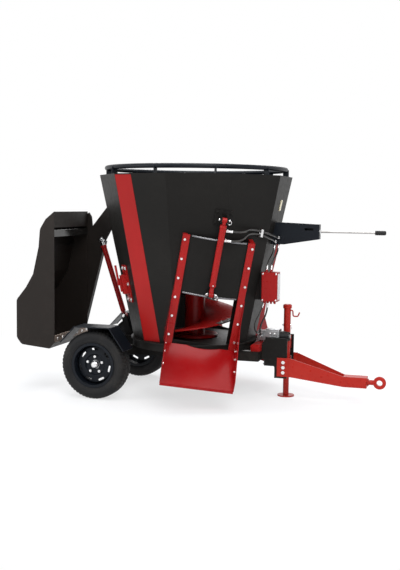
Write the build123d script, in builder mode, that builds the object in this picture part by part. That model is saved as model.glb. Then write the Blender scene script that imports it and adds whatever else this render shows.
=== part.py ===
"""Trailed vertical feed mixer: a ten-sided tub with a standing auger, two side doors with chutes,
a loading bucket on a swinging arm at the rear, a two-wheel axle and a drawbar with a swivel eye.

Millimetres. +X points to the hitch, +Y to the left, +Z up. The origin is on the ground, in the
middle of the machine's length and width.
"""
import os
from math import acos, asin, atan, cos, degrees, pi, radians, sin, tan

from build123d import *

os.makedirs("parts", exist_ok=True)

# Fits and clearances
running_gap = 0.05
seat_gap = 0.3
bolt_gap = 0.4
slide_gap = 3.0

# Reach from the tub's axis to the bucket's back and to the front of the tow eye
rear_reach = 1600
front_reach = 1720
tub_x = (rear_reach - front_reach) / 2

# Wheels and axle
axle_behind_tub = 730
wheel_track = 1100
tyre_diameter = 596
tyre_width = 185
tyre_cavity_wall = 14
tread_depth = 7
tread_groove = 8
bead_diameter = 356
rim_lip_diameter = 392
rim_lip = 8
rim_plate = 5
rim_slots = 7
rim_slot_circle_diameter = 272
rim_slot_length = 58
rim_slot_width = 17
hub_bore = 50
hub_diameter = 92
hub_flange_diameter = 176
hub_flange = 12
hub_inner_reach = 60
hub_outer_reach = 34
hub_cap_diameter = 70
hub_cap_height = 26
stud_circle_diameter = 140
stud_count = 5
stud_diameter = 14
nut_size = 22
nut_height = 18
axle_square = 70
axle_pad_length = 160

# Fenders
fender_width = 220
fender_top_half = 160
fender_top_rise = 34
fender_end_reach = 295
fender_end_rise = 190
fender_sheet = 4
fender_stay = 8
fender_stay_length = 150

# Chassis
rail_spread = 530
rail_width = 50
rail_height = 80
rail_wall = 5
rail_bottom = 360
rail_tail = 860
front_beam_length = 60
front_beam_x = 600
shaft_passage = 64

# Tub
band_height = 60
band_radius = 560
band_wall = 10
floor_thickness = 12
floor_radius = 575
tub_faces = 10
base_apothem = 525
top_apothem = 820
tub_height = 1438
tub_wall = 6
rim_width = 42
rim_thickness = 8

# Top rail
top_rail_radius = 796
top_rail_tube = 40
top_rail_gap = 40
post_count = 10
post_turn = -8
post_thickness = 8
post_depth = 52

# Auger and drive
auger_tube_diameter = 180
auger_tube_height = 930
auger_tube_wall = 10
auger_base_diameter = 420
auger_base_height = 26
auger_lift = 4
flight_base_radius = 470
flight_top_radius = 175
flight_thickness = 10
flight_rise = 800
flight_turns = 2
flight_steps_per_turn = 20
flight_steps_per_length = 5
flight_start = -150
knife_count = 5
knife_length = 210
knife_width = 62
knife_thickness = 8
output_shaft_diameter = 100
crown_diameter = 380
crown_thickness = 28
crown_land = 70
pinion_diameter = 76
pinion_length = 62
gearbox_radius = 222
gearbox_depth = 190
gearbox_wall = 10
drive_shaft_diameter = 44
drive_height = 410
pto_height = 550
case_gear_gap = 0.5
pto_gear_diameter = 93
case_gear_width = 40
case_x = 672
case_length = 118
case_width = 230
case_wall = 8
case_bottom = 296
case_neck = 60
pto_bearing = 40
pto_diameter = 35
pto_stub = 92
shield_length = 84
shield_root_radius = 48
shield_mouth_radius = 41
shield_wall = 4
pump_length = 80
pump_width = 88
pump_height = 92

# Hitch plates, drawbar and tow eye
plate_spread = 300
plate_thickness = 12
plate_back_x = 660
plate_front_x = 884
plate_top = 552
plate_bottom = 205
plate_leg_x = 776
plate_corner = 80
drawbar_plate = 12
drawbar_start_x = 800
drawbar_bend_x = 915
drawbar_nose_length = 200
eye_reach = 160
drawbar_nose_half = 46
drawbar_root_top = 385
drawbar_root_bottom = 222
drawbar_nose_top = 235
drawbar_nose_bottom = 145
bolt_row_x = 856
bolt_pitch = 44
bolt_rows = 3
bolt_diameter = 18
bolt_head = 28
bolt_head_height = 12
eye_outer_diameter = 110
eye_bore = 50
eye_thickness = 36
eye_shank = 44
eye_shank_length = 150
eye_collar = 64

# Jack
jack_x = 832
jack_y = 95
jack_tube_diameter = 62
jack_tube_wall = 5
jack_tube_bottom = 330
jack_cap_top = 826
jack_cap_diameter = 78
jack_cap_height = 34
jack_leg_top = 560
jack_block_height = 110
jack_foot_diameter = 150
jack_foot_thickness = 12
hook_wire = 12

# Control box, beam and lever
box_length = 140
box_depth = 120
box_height = 250
box_below_beam = 482
box_back_x = 668
box_y = -200
box_plate = 8
beam_width = 80
beam_wall = 5
beam_root_below_rim = 588
beam_root_height = 190
beam_tip_below_rim = 538
beam_tip_height = 128
beam_tip_x = 1120
lever_diameter = 18
lever_inside = 190
lever_length = 470
knob_diameter = 38
knob_length = 92

# Doors, rails, chutes and door cylinders
door_turn = 22
door_lean = 8
door_face_turn = 4
door_standoff = 60
door_width = 520
door_height = 500
door_sheet = 6
door_bow_radius = 800
door_open = 430
opening_width = 460
opening_height = 430
rail_bar = 38
rail_depth = 260
rail_lip = 20
rail_lip_sheet = 8
rail_foot = -30
rail_top = 930
rail_bolt_first = 60
rail_bolt_pitch = 165
rail_bolt_count = 6
chute_sheet = 5
chute_reach = 380
chute_drop = 200
chute_skew = 30
chute_side_rise = 80
barrel_diameter = 51
barrel_bore = 40
barrel_length = 520
barrel_rise = 50
rod_diameter = 25
piston_length = 40
gland_above_clevis = 70
clevis_above_edge = 40
clevis_pin = 20
barrel_eye_above_cap = 46
port_diameter = 24
port_length = 18

# Loading bucket, arm and lift cylinder
bucket_front_x = -1220
bucket_half_width = 370
bucket_sheet = 5
bucket_top = 1620
bucket_bottom = 374
bucket_bend = 50
hood_bottom = 1476
bucket_beam_top = 1455
bucket_beam_height = 62
bucket_beam_depth = 70
lip_top = 500
arm_pivot_x = -840
arm_below_rim = 150
arm_plate = 16
arm_pivot_pin = 40
arm_eye = 100
arm_flange = 40
arm_foot_back = 30
arm_foot_rise = 120
arm_ear = 50
lift_pin_x = -1060
lift_pin_z = 1350
lift_base_x = -818
lift_base_z = 620
lift_y = 345
lift_barrel_diameter = 50
lift_barrel_bore = 40
lift_rod_diameter = 28
lift_piston = 28
lift_pin = 24
lift_eye = 50
lift_eye_width = 36
lift_barrel_short = 60
ear_plate = 12

# Counter knife
knife_face = -144
counter_z = 1000
counter_plate_width = 130
counter_plate_height = 330
counter_plate = 12
counter_guide = 46
counter_blade = 10
counter_blade_height = 120
counter_inside = 150
counter_outside = 78

# Hoses
hose_diameter = 18
control_hose_diameter = 14
pump_hose_diameter = 15
return_hose_diameter = 10
hose_wall = 3
hose_lead = 124
hose_standoff = 25
hose_clamp_rises = (20, 72)
hose_corner_rises = (88, 56)
hose_end_reaches = (76, 46)
hose_end_rises = (56, 23)
control_hose_reaches = (29, 66)
control_hose_shares = (0.21, 0.49)
fitting_length = 18
clamp_width = 24

# Heights and places that follow from the sizes above
wheel_radius = tyre_diameter / 2
axle_x = tub_x - axle_behind_tub
rail_head = rail_bottom + rail_height
floor_bottom = rail_head + band_height
floor_top = floor_bottom + floor_thickness
rim_top = floor_top + tub_height
half_face = 180 / tub_faces
wall_slope = (top_apothem - base_apothem) / tub_height
top_rail_z = rim_top + top_rail_gap + top_rail_tube / 2
drawbar_front_x = front_reach - eye_reach
drawbar_nose_x = drawbar_front_x - drawbar_nose_length
beam_root_low = rim_top - beam_root_below_rim
beam_root_high = beam_root_low + beam_root_height
beam_tip_low = rim_top - beam_tip_below_rim
beam_tip_high = beam_tip_low + beam_tip_height
beam_root_x = base_apothem + (beam_root_low - floor_top) * wall_slope
box_bottom = beam_root_low - box_below_beam
arm_pivot_z = rim_top - arm_below_rim


def write(piece, name):
    """Label a finished piece and save it under that name."""
    piece.label = name
    export_step(piece, f"parts/{name}.step")


def mirrored(piece):
    """The same piece on the machine's other side."""
    return mirror(piece, about=Plane.XZ, mode=Mode.PRIVATE)


def tub_level(z):
    """A level plane centred on the tub's axis."""
    return Plane(origin=(tub_x, 0, z))


def side_plane(y):
    """An upright plane whose sketch reads X to the front and Y up, drawn from the tub's axis."""
    return Plane(origin=(tub_x, y, 0), x_dir=(1, 0, 0), z_dir=(0, -1, 0))


def tub_polygon(apothem, mode=Mode.ADD):
    """The tub's ten-sided outline with flat faces to the front and rear."""
    return RegularPolygon(apothem, tub_faces, major_radius=False, rotation=half_face, mode=mode)


# Outside of the tub as one solid block, which trims everything that is welded to its wall
with BuildPart() as tub_block:
    with BuildSketch(tub_level(floor_top)):
        tub_polygon(base_apothem)
    with BuildSketch(tub_level(rim_top)):
        tub_polygon(top_apothem)
    loft(ruled=True)

# Door frame on the right side: across the door, up along its slide and straight out of it
door_angle = radians(door_turn - 90)
door_out = Vector(cos(door_angle), sin(door_angle), 0)
door_across = Vector(-sin(door_angle), cos(door_angle), 0)
door_slope = atan(wall_slope / cos(radians(door_face_turn)))
door_up = door_out * sin(door_slope) + Vector(0, 0, 1) * cos(door_slope)
door_normal = door_out * cos(door_slope) - Vector(0, 0, 1) * sin(door_slope)
door_slide = door_up * cos(radians(door_lean)) + door_across * sin(radians(door_lean))
door_side = door_across * cos(radians(door_lean)) - door_up * sin(radians(door_lean))
door_radius = base_apothem / cos(radians(door_face_turn)) + door_standoff
door_foot = Vector(tub_x, 0, floor_top) + door_out * door_radius


def door_face(rise=0):
    """Plane of the door: X across, Y up along the slide, Z outwards."""
    return Plane(origin=door_foot + door_normal * rise, x_dir=door_side, z_dir=door_normal)


def door_section(along):
    """Plane square to the slide at a place along it: X across, Y outwards, extruding downwards."""
    return Plane(origin=door_foot + door_slide * along, x_dir=door_side, z_dir=-door_slide)


def door_flank(across):
    """Plane along the slide and out of the door: X up the slide, Y outwards."""
    return Plane(origin=door_foot + door_side * across, x_dir=door_slide, z_dir=door_side)


with BuildPart() as door_cut:
    with BuildSketch(door_face(door_standoff)):
        with Locations((0, opening_height / 2)):
            Rectangle(opening_width, opening_height)
    extrude(amount=-6 * door_standoff)

# Counter knife's face of the tub: X along the wall, Y up the wall, Z outwards
knife_out = Vector(cos(radians(knife_face)), sin(radians(knife_face)), 0)
knife_radius = base_apothem + (counter_z - floor_top) * wall_slope
knife_normal = knife_out * cos(atan(wall_slope)) - Vector(0, 0, 1) * sin(atan(wall_slope))
knife_across = Vector(-sin(radians(knife_face)), cos(radians(knife_face)), 0)
knife_origin = Vector(tub_x, 0, counter_z) + knife_out * knife_radius


def knife_plane(rise):
    """Plane along the tub's wall at the counter knife, standing out from it by a rise."""
    return Plane(origin=knife_origin + knife_normal * rise, x_dir=knife_across, z_dir=knife_normal)


# Hose routes: they start and end at fittings and pass round the tub's corners
clevis_along = door_open + clevis_above_edge
gland_along = clevis_along + gland_above_clevis
cap_along = gland_along + barrel_length
eye_along = cap_along + barrel_eye_above_cap
port_places = (cap_along - piston_length, cap_along - 3 * piston_length)
port_reach = barrel_diameter / 2 + port_length


def tub_point(angle, z, gap):
    """A point at an angle round the tub, at a gap outside its wall or corner."""
    turn = abs((angle + half_face) % (2 * half_face) - half_face)
    radius = (base_apothem + (z - floor_top) * wall_slope) / cos(radians(turn)) + gap
    return Vector(tub_x + radius * cos(radians(angle)), radius * sin(radians(angle)), z)


door_hose_routes = []
route_places = zip(port_places, hose_clamp_rises, hose_corner_rises, hose_end_reaches, hose_end_rises)
for port, clamp_rise, corner_rise, end_reach, end_rise in route_places:
    start = door_foot + door_slide * port + door_normal * barrel_rise + door_side * port_reach
    door_hose_routes.append((start, start + door_side * hose_lead,
                             tub_point(-2 * half_face, start.Z + clamp_rise, hose_standoff),
                             tub_point(-half_face, beam_root_low + corner_rise,
                                       hose_standoff + hose_diameter / 2),
                             Vector(tub_x + beam_root_x + end_reach, -beam_width / 2 - fitting_length,
                                    beam_root_low + end_rise)))
box_top = box_bottom + box_height
control_hose_routes = []
for start_reach, end_share in zip(control_hose_reaches, control_hose_shares):
    high = Vector(tub_x + beam_root_x + start_reach, -beam_width * 0.4, beam_root_low - fitting_length / 2)
    low = Vector(tub_x + box_back_x + box_length * end_share, box_y + box_depth * 0.15,
                 box_top + fitting_length)
    drop = (high.Z - low.Z) / 3
    step = (low - high) * 0.11
    control_hose_routes.append((high, Vector(high.X + step.X, high.Y + step.Y, high.Z - drop),
                                Vector(low.X - step.X, low.Y - step.Y, low.Z + drop), low))
box_low = box_bottom - fitting_length
pump_port_y = -pump_width / 2 - fitting_length
pump_drop = box_low - pto_height
pump_hose_routes = (
    (Vector(tub_x + box_back_x + 47, box_y, box_low),
     Vector(tub_x + box_back_x + 44, box_y - 5, box_low - 0.28 * pump_drop),
     Vector(tub_x + case_x - 22, box_y + 15, pto_height + 0.37 * pump_drop),
     Vector(tub_x + case_x - 36, box_y + 60, pto_height + 0.065 * pump_drop),
     Vector(tub_x + case_x - 40, pump_port_y, pto_height)),
    (Vector(tub_x + box_back_x + 17, box_y - 22, box_low),
     Vector(tub_x + box_back_x - 8, box_y - 32, box_low - 0.26 * pump_drop),
     Vector(tub_x + case_x - 66, box_y - 22, pto_height + 0.45 * pump_drop),
     Vector(tub_x + case_x - 80, box_y + 50, pto_height + 0.16 * pump_drop),
     Vector(tub_x + case_x - 66, pump_port_y, pto_height + 16)),
)


def hose(points, diameter):
    """A hose of straight runs and tangent bends, each as wide as the shorter run beside it allows."""
    bends = []
    for before, corner, after in zip(points, points[1:], points[2:]):
        came = corner - before
        leaves = after - corner
        turn = acos(came.normalized().dot(leaves.normalized()))
        bends.append(0.45 * min(came.length, leaves.length) / tan(turn / 2))
    with BuildPart() as piece:
        with BuildLine() as path:
            FilletPolyline(*points, radius=bends)
        with BuildSketch(Plane(origin=points[0], z_dir=points[1] - points[0])):
            Circle(diameter / 2)
        sweep(path=path.wires()[0])
    return piece.part


def fitting(end, before, diameter):
    """Plane and radius of a fitting that meets a hose's end square on."""
    return Plane(origin=end, z_dir=end - before), diameter / 2 + hose_wall


with BuildPart() as knife_cut:
    with BuildSketch(knife_plane(counter_plate + counter_guide)):
        Rectangle(counter_blade + 2 * running_gap, counter_blade_height + 2 * running_gap)
    extrude(amount=-2 * (counter_plate + counter_guide))

# Tub shell: flared wall with a folded rim, two door openings and the counter knife's slot
with BuildPart() as tub_shell:
    add(tub_block.part)
    with BuildSketch(tub_level(floor_top)):
        tub_polygon(base_apothem - tub_wall)
    with BuildSketch(tub_level(rim_top)):
        tub_polygon(top_apothem - tub_wall)
    loft(ruled=True, mode=Mode.SUBTRACT)
    with BuildSketch(tub_level(rim_top)):
        tub_polygon(top_apothem - tub_wall / 2)
        tub_polygon(top_apothem - rim_width, mode=Mode.SUBTRACT)
    extrude(amount=-rim_thickness)
    add(door_cut.part, mode=Mode.SUBTRACT)
    add(mirrored(door_cut.part), mode=Mode.SUBTRACT)
    add(knife_cut.part, mode=Mode.SUBTRACT)
write(tub_shell.part, "tub_shell")

# Floor plate with the round band that stands on the chassis
with BuildPart() as tub_floor:
    with BuildSketch(tub_level(floor_bottom)):
        Circle(floor_radius)
        Circle(output_shaft_diameter / 2 + slide_gap, mode=Mode.SUBTRACT)
    extrude(amount=floor_thickness)
    with BuildSketch(tub_level(rail_head)):
        Circle(band_radius)
        Circle(band_radius - band_wall, mode=Mode.SUBTRACT)
    extrude(amount=band_height)
write(tub_floor.part, "tub_floor")

# Round rail above the rim on short posts
with BuildPart() as top_rail:
    with BuildSketch(Plane(origin=(tub_x, 0, top_rail_z), x_dir=(1, 0, 0), z_dir=(0, -1, 0))):
        with Locations((top_rail_radius, 0)):
            Circle(top_rail_tube / 2)
    revolve(axis=Axis((tub_x, 0, 0), (0, 0, 1)), revolution_arc=360)
    with BuildSketch(tub_level(rim_top)):
        with PolarLocations(top_rail_radius, post_count, start_angle=half_face + post_turn):
            Rectangle(post_depth, post_thickness)
    extrude(amount=top_rail_gap + top_rail_tube / 2)
write(top_rail.part, "top_rail")

# Chassis: two rails, a tail member and a front member with a passage for the drive shaft
with BuildPart() as chassis_frame:
    for side in (-1, 1):
        with BuildSketch(Plane(origin=(tub_x - rail_tail, side * rail_spread / 2,
                                       rail_bottom + rail_height / 2),
                               x_dir=(0, 1, 0), z_dir=(1, 0, 0))):
            Rectangle(rail_width, rail_height)
            Rectangle(rail_width - 2 * rail_wall, rail_height - 2 * rail_wall, mode=Mode.SUBTRACT)
        extrude(amount=rail_tail + front_beam_x + front_beam_length)
    for start in (-rail_tail, front_beam_x):
        with BuildSketch(Plane(origin=(tub_x + start + front_beam_length / 2, 0,
                                       rail_bottom + rail_height / 2),
                               x_dir=(1, 0, 0), z_dir=(0, -1, 0))):
            Rectangle(front_beam_length, rail_height)
            Rectangle(front_beam_length - 2 * rail_wall, rail_height - 2 * rail_wall, mode=Mode.SUBTRACT)
        extrude(amount=rail_spread / 2 - rail_width / 2, both=True)
    with BuildSketch(Plane(origin=(tub_x + front_beam_x, 0, drive_height), x_dir=(0, 1, 0),
                           z_dir=(1, 0, 0))):
        Circle(shaft_passage / 2)
    extrude(amount=front_beam_length, mode=Mode.SUBTRACT)
write(chassis_frame.part, "chassis_frame")

# Axle: square beam under the rails with a pad under each and a turned spindle at each end
hub_inner_y = wheel_track / 2 - hub_inner_reach
with BuildPart() as axle_beam:
    with BuildSketch(Plane(origin=(axle_x, 0, wheel_radius), x_dir=(1, 0, 0), z_dir=(0, -1, 0))):
        Rectangle(axle_square, axle_square)
    extrude(amount=hub_inner_y - seat_gap, both=True)
    with BuildSketch(Plane(origin=(axle_x, 0, wheel_radius), x_dir=(1, 0, 0), z_dir=(0, -1, 0))):
        Circle(hub_bore / 2)
    extrude(amount=wheel_track / 2 + hub_outer_reach - seat_gap, both=True)
    for side in (-1, 1):
        with BuildSketch(Plane(origin=(axle_x, side * rail_spread / 2, wheel_radius))):
            Rectangle(axle_pad_length, rail_width)
        extrude(amount=rail_bottom - wheel_radius)
write(axle_beam.part, "axle_beam")

# Wheels: drawn as sections, radius along X and outwards along Y, on the right side
wheel_centre = (axle_x, -wheel_track / 2, wheel_radius)
wheel_section = Plane(origin=wheel_centre, x_dir=(1, 0, 0), z_dir=(0, 0, -1))
wheel_face = Plane(origin=wheel_centre, x_dir=(1, 0, 0), z_dir=(0, -1, 0))
wheel_axis = Axis(wheel_centre, (0, -1, 0))
half_tyre = tyre_width / 2
bead_radius = bead_diameter / 2
rim_half = half_tyre - 2 * rim_lip
shoulder = tyre_width / 6

with BuildPart() as tyre:
    with BuildSketch(wheel_section):
        with BuildLine():
            Polyline((bead_radius, -rim_half), (rim_lip_diameter / 2, -rim_half))
            ThreePointArc((rim_lip_diameter / 2, -rim_half),
                          (wheel_radius - 2 * shoulder, -half_tyre),
                          (wheel_radius - shoulder / 2, -half_tyre + shoulder / 2))
            Polyline((wheel_radius - shoulder / 2, -half_tyre + shoulder / 2),
                     (wheel_radius, -half_tyre + shoulder),
                     (wheel_radius, half_tyre - shoulder),
                     (wheel_radius - shoulder / 2, half_tyre - shoulder / 2))
            ThreePointArc((wheel_radius - shoulder / 2, half_tyre - shoulder / 2),
                          (wheel_radius - 2 * shoulder, half_tyre),
                          (rim_lip_diameter / 2, rim_half))
            Polyline((rim_lip_diameter / 2, rim_half), (bead_radius, rim_half), (bead_radius, -rim_half))
        make_face()
        with Locations(((bead_radius + wheel_radius - 2 * tyre_cavity_wall) / 2, 0)):
            Rectangle(wheel_radius - bead_radius - 2 * tyre_cavity_wall,
                      2 * rim_half - 2 * tyre_cavity_wall,
                      mode=Mode.SUBTRACT)
        with Locations(*[(wheel_radius, offset * tyre_width / 6) for offset in (-1, 0, 1)]):
            Rectangle(2 * tread_depth, tread_groove, mode=Mode.SUBTRACT)
    revolve(axis=wheel_axis, revolution_arc=360)

disc_seat = hub_flange
with BuildPart() as rim:
    with BuildSketch(wheel_section):
        with Locations((bead_radius - rim_plate / 2, 0)):
            Rectangle(rim_plate, 2 * rim_half)
        for side in (-1, 1):
            with Locations(((rim_lip_diameter / 2 + bead_radius - rim_plate) / 2,
                            side * (rim_half + rim_plate / 2))):
                Rectangle(rim_lip_diameter / 2 - bead_radius + rim_plate, rim_plate)
        with BuildLine():
            Polyline((hub_cap_diameter / 2 + slide_gap, disc_seat), (hub_flange_diameter / 2, disc_seat),
                     (hub_flange_diameter / 2 + 2 * rim_plate, disc_seat + 3 * rim_plate),
                     (rim_slot_circle_diameter / 2 + rim_slot_width, disc_seat + 2 * rim_plate),
                     (bead_radius - rim_plate, disc_seat - 4 * rim_plate),
                     (bead_radius - rim_plate, disc_seat - 2 * rim_plate),
                     (rim_slot_circle_diameter / 2 + rim_slot_width, disc_seat + 3 * rim_plate),
                     (hub_flange_diameter / 2 + rim_plate, disc_seat + 4 * rim_plate),
                     (hub_flange_diameter / 2 - rim_plate, disc_seat + rim_plate),
                     (hub_cap_diameter / 2 + slide_gap, disc_seat + rim_plate),
                     close=True)
        make_face()
    revolve(axis=wheel_axis, revolution_arc=360)
    with BuildSketch(wheel_face.offset(half_tyre)):
        with PolarLocations(rim_slot_circle_diameter / 2, rim_slots, start_angle=90):
            SlotOverall(rim_slot_length, rim_slot_width, rotation=90)
        with PolarLocations(stud_circle_diameter / 2, stud_count, start_angle=90):
            Circle(stud_diameter / 2 + bolt_gap)
    extrude(amount=-tyre_width, mode=Mode.SUBTRACT)

with BuildPart() as hub:
    with BuildSketch(wheel_section):
        with BuildLine():
            Polyline((hub_bore / 2 + running_gap, -hub_inner_reach), (hub_diameter / 2, -hub_inner_reach),
                     (hub_diameter / 2, 0), (hub_flange_diameter / 2, 0),
                     (hub_flange_diameter / 2, hub_flange),
                     (hub_cap_diameter / 2, hub_flange), (hub_cap_diameter / 2, hub_outer_reach))
            Polyline((hub_cap_diameter / 2, hub_outer_reach),
                     (hub_cap_diameter / 2.3, hub_outer_reach + hub_cap_height / 2),
                     (hub_cap_diameter / 3.2, hub_outer_reach + 0.85 * hub_cap_height),
                     (0, hub_outer_reach + hub_cap_height), (0, hub_outer_reach),
                     (hub_bore / 2 + running_gap, hub_outer_reach),
                     (hub_bore / 2 + running_gap, -hub_inner_reach))
        make_face()
    revolve(axis=wheel_axis, revolution_arc=360)
    with BuildSketch(wheel_face):
        with PolarLocations(stud_circle_diameter / 2, stud_count, start_angle=90):
            Circle(stud_diameter / 2 + bolt_gap)
    extrude(amount=hub_flange, mode=Mode.SUBTRACT)

with BuildPart() as nuts:
    with BuildSketch(wheel_face):
        with PolarLocations(stud_circle_diameter / 2, stud_count, start_angle=90):
            Circle(stud_diameter / 2)
    extrude(amount=disc_seat + rim_plate + nut_height + rim_plate)
    with BuildSketch(wheel_face.offset(disc_seat + rim_plate)):
        with PolarLocations(stud_circle_diameter / 2, stud_count, start_angle=90):
            RegularPolygon(nut_size / 2, 6, major_radius=False)
    extrude(amount=nut_height)
for piece, name in ((tyre, "tyre"), (rim, "rim"), (hub, "hub"), (nuts, "nuts")):
    write(piece.part, f"wheel_{name}_right")
    write(mirrored(piece.part), f"wheel_{name}_left")

# Fenders: a sheet folded in three flats over each wheel, on a stay that stands on the axle
fender_top = tyre_diameter + fender_top_rise
fender_inner_y = wheel_track / 2 - fender_width / 2
with BuildPart() as fenders:
    with BuildSketch(Plane(origin=(axle_x, -fender_inner_y, 0), x_dir=(1, 0, 0), z_dir=(0, -1, 0))):
        with BuildLine():
            crown = Polyline((-fender_end_reach, fender_top - fender_end_rise + fender_end_rise / 4),
                             (-fender_top_half, fender_top), (fender_top_half, fender_top),
                             (fender_end_reach, fender_top - fender_end_rise))
            offset(crown, amount=fender_sheet, side=Side.LEFT)
        make_face()
    extrude(amount=fender_width)
    with BuildSketch(Plane(origin=(axle_x, -fender_inner_y - fender_sheet, 0), x_dir=(1, 0, 0),
                           z_dir=(0, -1, 0))):
        with BuildLine():
            Polyline((-axle_square / 2, wheel_radius + axle_square / 2), (-fender_stay_length, fender_top),
                     (fender_stay_length, fender_top), (axle_square / 2, wheel_radius + axle_square / 2),
                     close=True)
        make_face()
    extrude(amount=-fender_stay - fender_sheet)
    mirror(about=Plane.XZ)
write(fenders.part, "fenders")

# Main gearbox under the floor with the crown gear's shaft coming up through the floor
gearbox_bottom = floor_bottom - gearbox_depth
crown_bottom = drive_height + pinion_diameter / 2 + case_gear_gap
with BuildPart() as main_gearbox:
    with BuildSketch(tub_level(gearbox_bottom)):
        Circle(gearbox_radius)
    extrude(amount=gearbox_depth)
    with BuildSketch(tub_level(gearbox_bottom + gearbox_wall)):
        Circle(gearbox_radius - gearbox_wall)
    extrude(amount=gearbox_depth - 2 * gearbox_wall, mode=Mode.SUBTRACT)
    with BuildSketch(tub_level(floor_bottom)):
        Circle(output_shaft_diameter / 2 + running_gap)
    extrude(amount=-gearbox_wall, mode=Mode.SUBTRACT)
    with BuildSketch(Plane(origin=(tub_x, 0, drive_height), x_dir=(0, 1, 0), z_dir=(1, 0, 0))):
        Circle(drive_shaft_diameter / 2 + running_gap)
    extrude(amount=gearbox_radius, mode=Mode.SUBTRACT)
write(main_gearbox.part, "main_gearbox")

with BuildPart() as crown_gear:
    with BuildSketch(tub_level(crown_bottom)):
        Circle(crown_diameter / 2)
    extrude(amount=crown_thickness)
    with BuildSketch(tub_level(crown_bottom)):
        Circle(crown_diameter / 2 - crown_land)
        Circle(output_shaft_diameter / 2, mode=Mode.SUBTRACT)
    extrude(amount=crown_thickness / 2, mode=Mode.SUBTRACT)
    with BuildSketch(tub_level(crown_bottom + crown_thickness)):
        Circle(output_shaft_diameter / 2)
    extrude(amount=floor_top + auger_lift - crown_bottom - crown_thickness)
write(crown_gear.part, "crown_gear")

# Auger: base plate, tube with a cap, tapering flight and its knives
auger_bottom = floor_top + auger_lift
auger_radius = auger_tube_diameter / 2
with BuildPart() as auger_tube:
    with BuildSketch(tub_level(auger_bottom)):
        Circle(auger_base_diameter / 2)
    extrude(amount=auger_base_height)
    chamfer(auger_tube.edges().group_by(Axis.Z)[-1], auger_base_height / 3)
    with BuildSketch(tub_level(auger_bottom)):
        Circle(auger_radius)
    extrude(amount=auger_tube_height)
    chamfer(auger_tube.edges().group_by(Axis.Z)[-1], auger_radius / 6)
    with BuildSketch(tub_level(auger_bottom + auger_base_height)):
        Circle(auger_radius - auger_tube_wall)
    extrude(amount=auger_tube_height - 2 * auger_base_height, mode=Mode.SUBTRACT)
write(auger_tube.part, "auger_tube")

flight_bottom = auger_bottom + auger_base_height
flight_steps = flight_turns * flight_steps_per_turn


def flight_angle(share):
    """Turn of the flight at a share of its length, falling behind as it climbs."""
    return flight_start + 360 * flight_turns * share


def flight_radius(share):
    """Outer radius of the flight at a share of its length."""
    return flight_base_radius + (flight_top_radius - flight_base_radius) * share


flight_lengths = []
for first in range(0, flight_steps, flight_steps_per_length):
    with BuildPart() as flight_length:
        for step in range(first, first + flight_steps_per_length + 1):
            share = step / flight_steps
            turn = radians(flight_angle(share))
            across = Vector(cos(turn), sin(turn), 0)
            middle = (auger_radius - auger_tube_wall / 2 + flight_radius(share)) / 2
            height = flight_bottom + flight_rise * share + flight_thickness / 2
            with BuildSketch(Plane(origin=Vector(tub_x, 0, height) + across * middle, x_dir=across,
                                   z_dir=(-sin(turn), cos(turn), 0))):
                Rectangle(flight_radius(share) - auger_radius + auger_tube_wall / 2, flight_thickness)
        loft(ruled=True)
        add(auger_tube.part, mode=Mode.SUBTRACT)
    flight_lengths.append(flight_length.part.solid())
auger_flight = Compound(flight_lengths)
write(auger_flight, "auger_flight")

with BuildPart() as auger_knives:
    for step in range(knife_count):
        share = (step + 1) / (knife_count + 1)
        turn = radians(flight_angle(share))
        climb = flight_rise / (2 * pi * flight_turns * flight_radius(share))
        along = Vector(-sin(turn), cos(turn), climb).normalized()
        outward = Vector(cos(turn), sin(turn), 0)
        knife_z = flight_bottom + flight_rise * share + flight_thickness - knife_thickness / 4
        place = Vector(tub_x, 0, knife_z) + outward * (flight_radius(share) - knife_width / 4)
        with BuildSketch(Plane(origin=place, x_dir=along, z_dir=outward.cross(along))):
            with BuildLine():
                Polyline((-knife_length / 2, knife_width / 2), (-knife_length / 2, -knife_width / 4),
                         (knife_length / 4, -knife_width / 2), (knife_length / 2, knife_width / 2),
                         close=True)
            make_face()
        extrude(amount=knife_thickness)
    for length in flight_lengths:
        add(length, mode=Mode.SUBTRACT)
write(auger_knives.part, "auger_knives")

# Transfer case behind the drawbar: drive comes in on the upper shaft, the lower one runs to the gearbox
case_gear_spread = pto_height - drive_height
low_gear_diameter = 2 * (case_gear_spread - case_gear_gap) - pto_gear_diameter
case_top = pto_height + pto_gear_diameter / 2 + 2 * case_wall
case_head = pto_gear_diameter + 4 * case_wall
case_shoulder = pto_height - pto_gear_diameter / 2 - 4 * case_wall
case_front_x = case_x + case_length


def cross_plane(x, z):
    """Plane square to the drive shafts at a place ahead of the tub's axis: X left, Y up."""
    return Plane(origin=(tub_x + x, 0, z), x_dir=(0, 1, 0), z_dir=(1, 0, 0))


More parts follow.
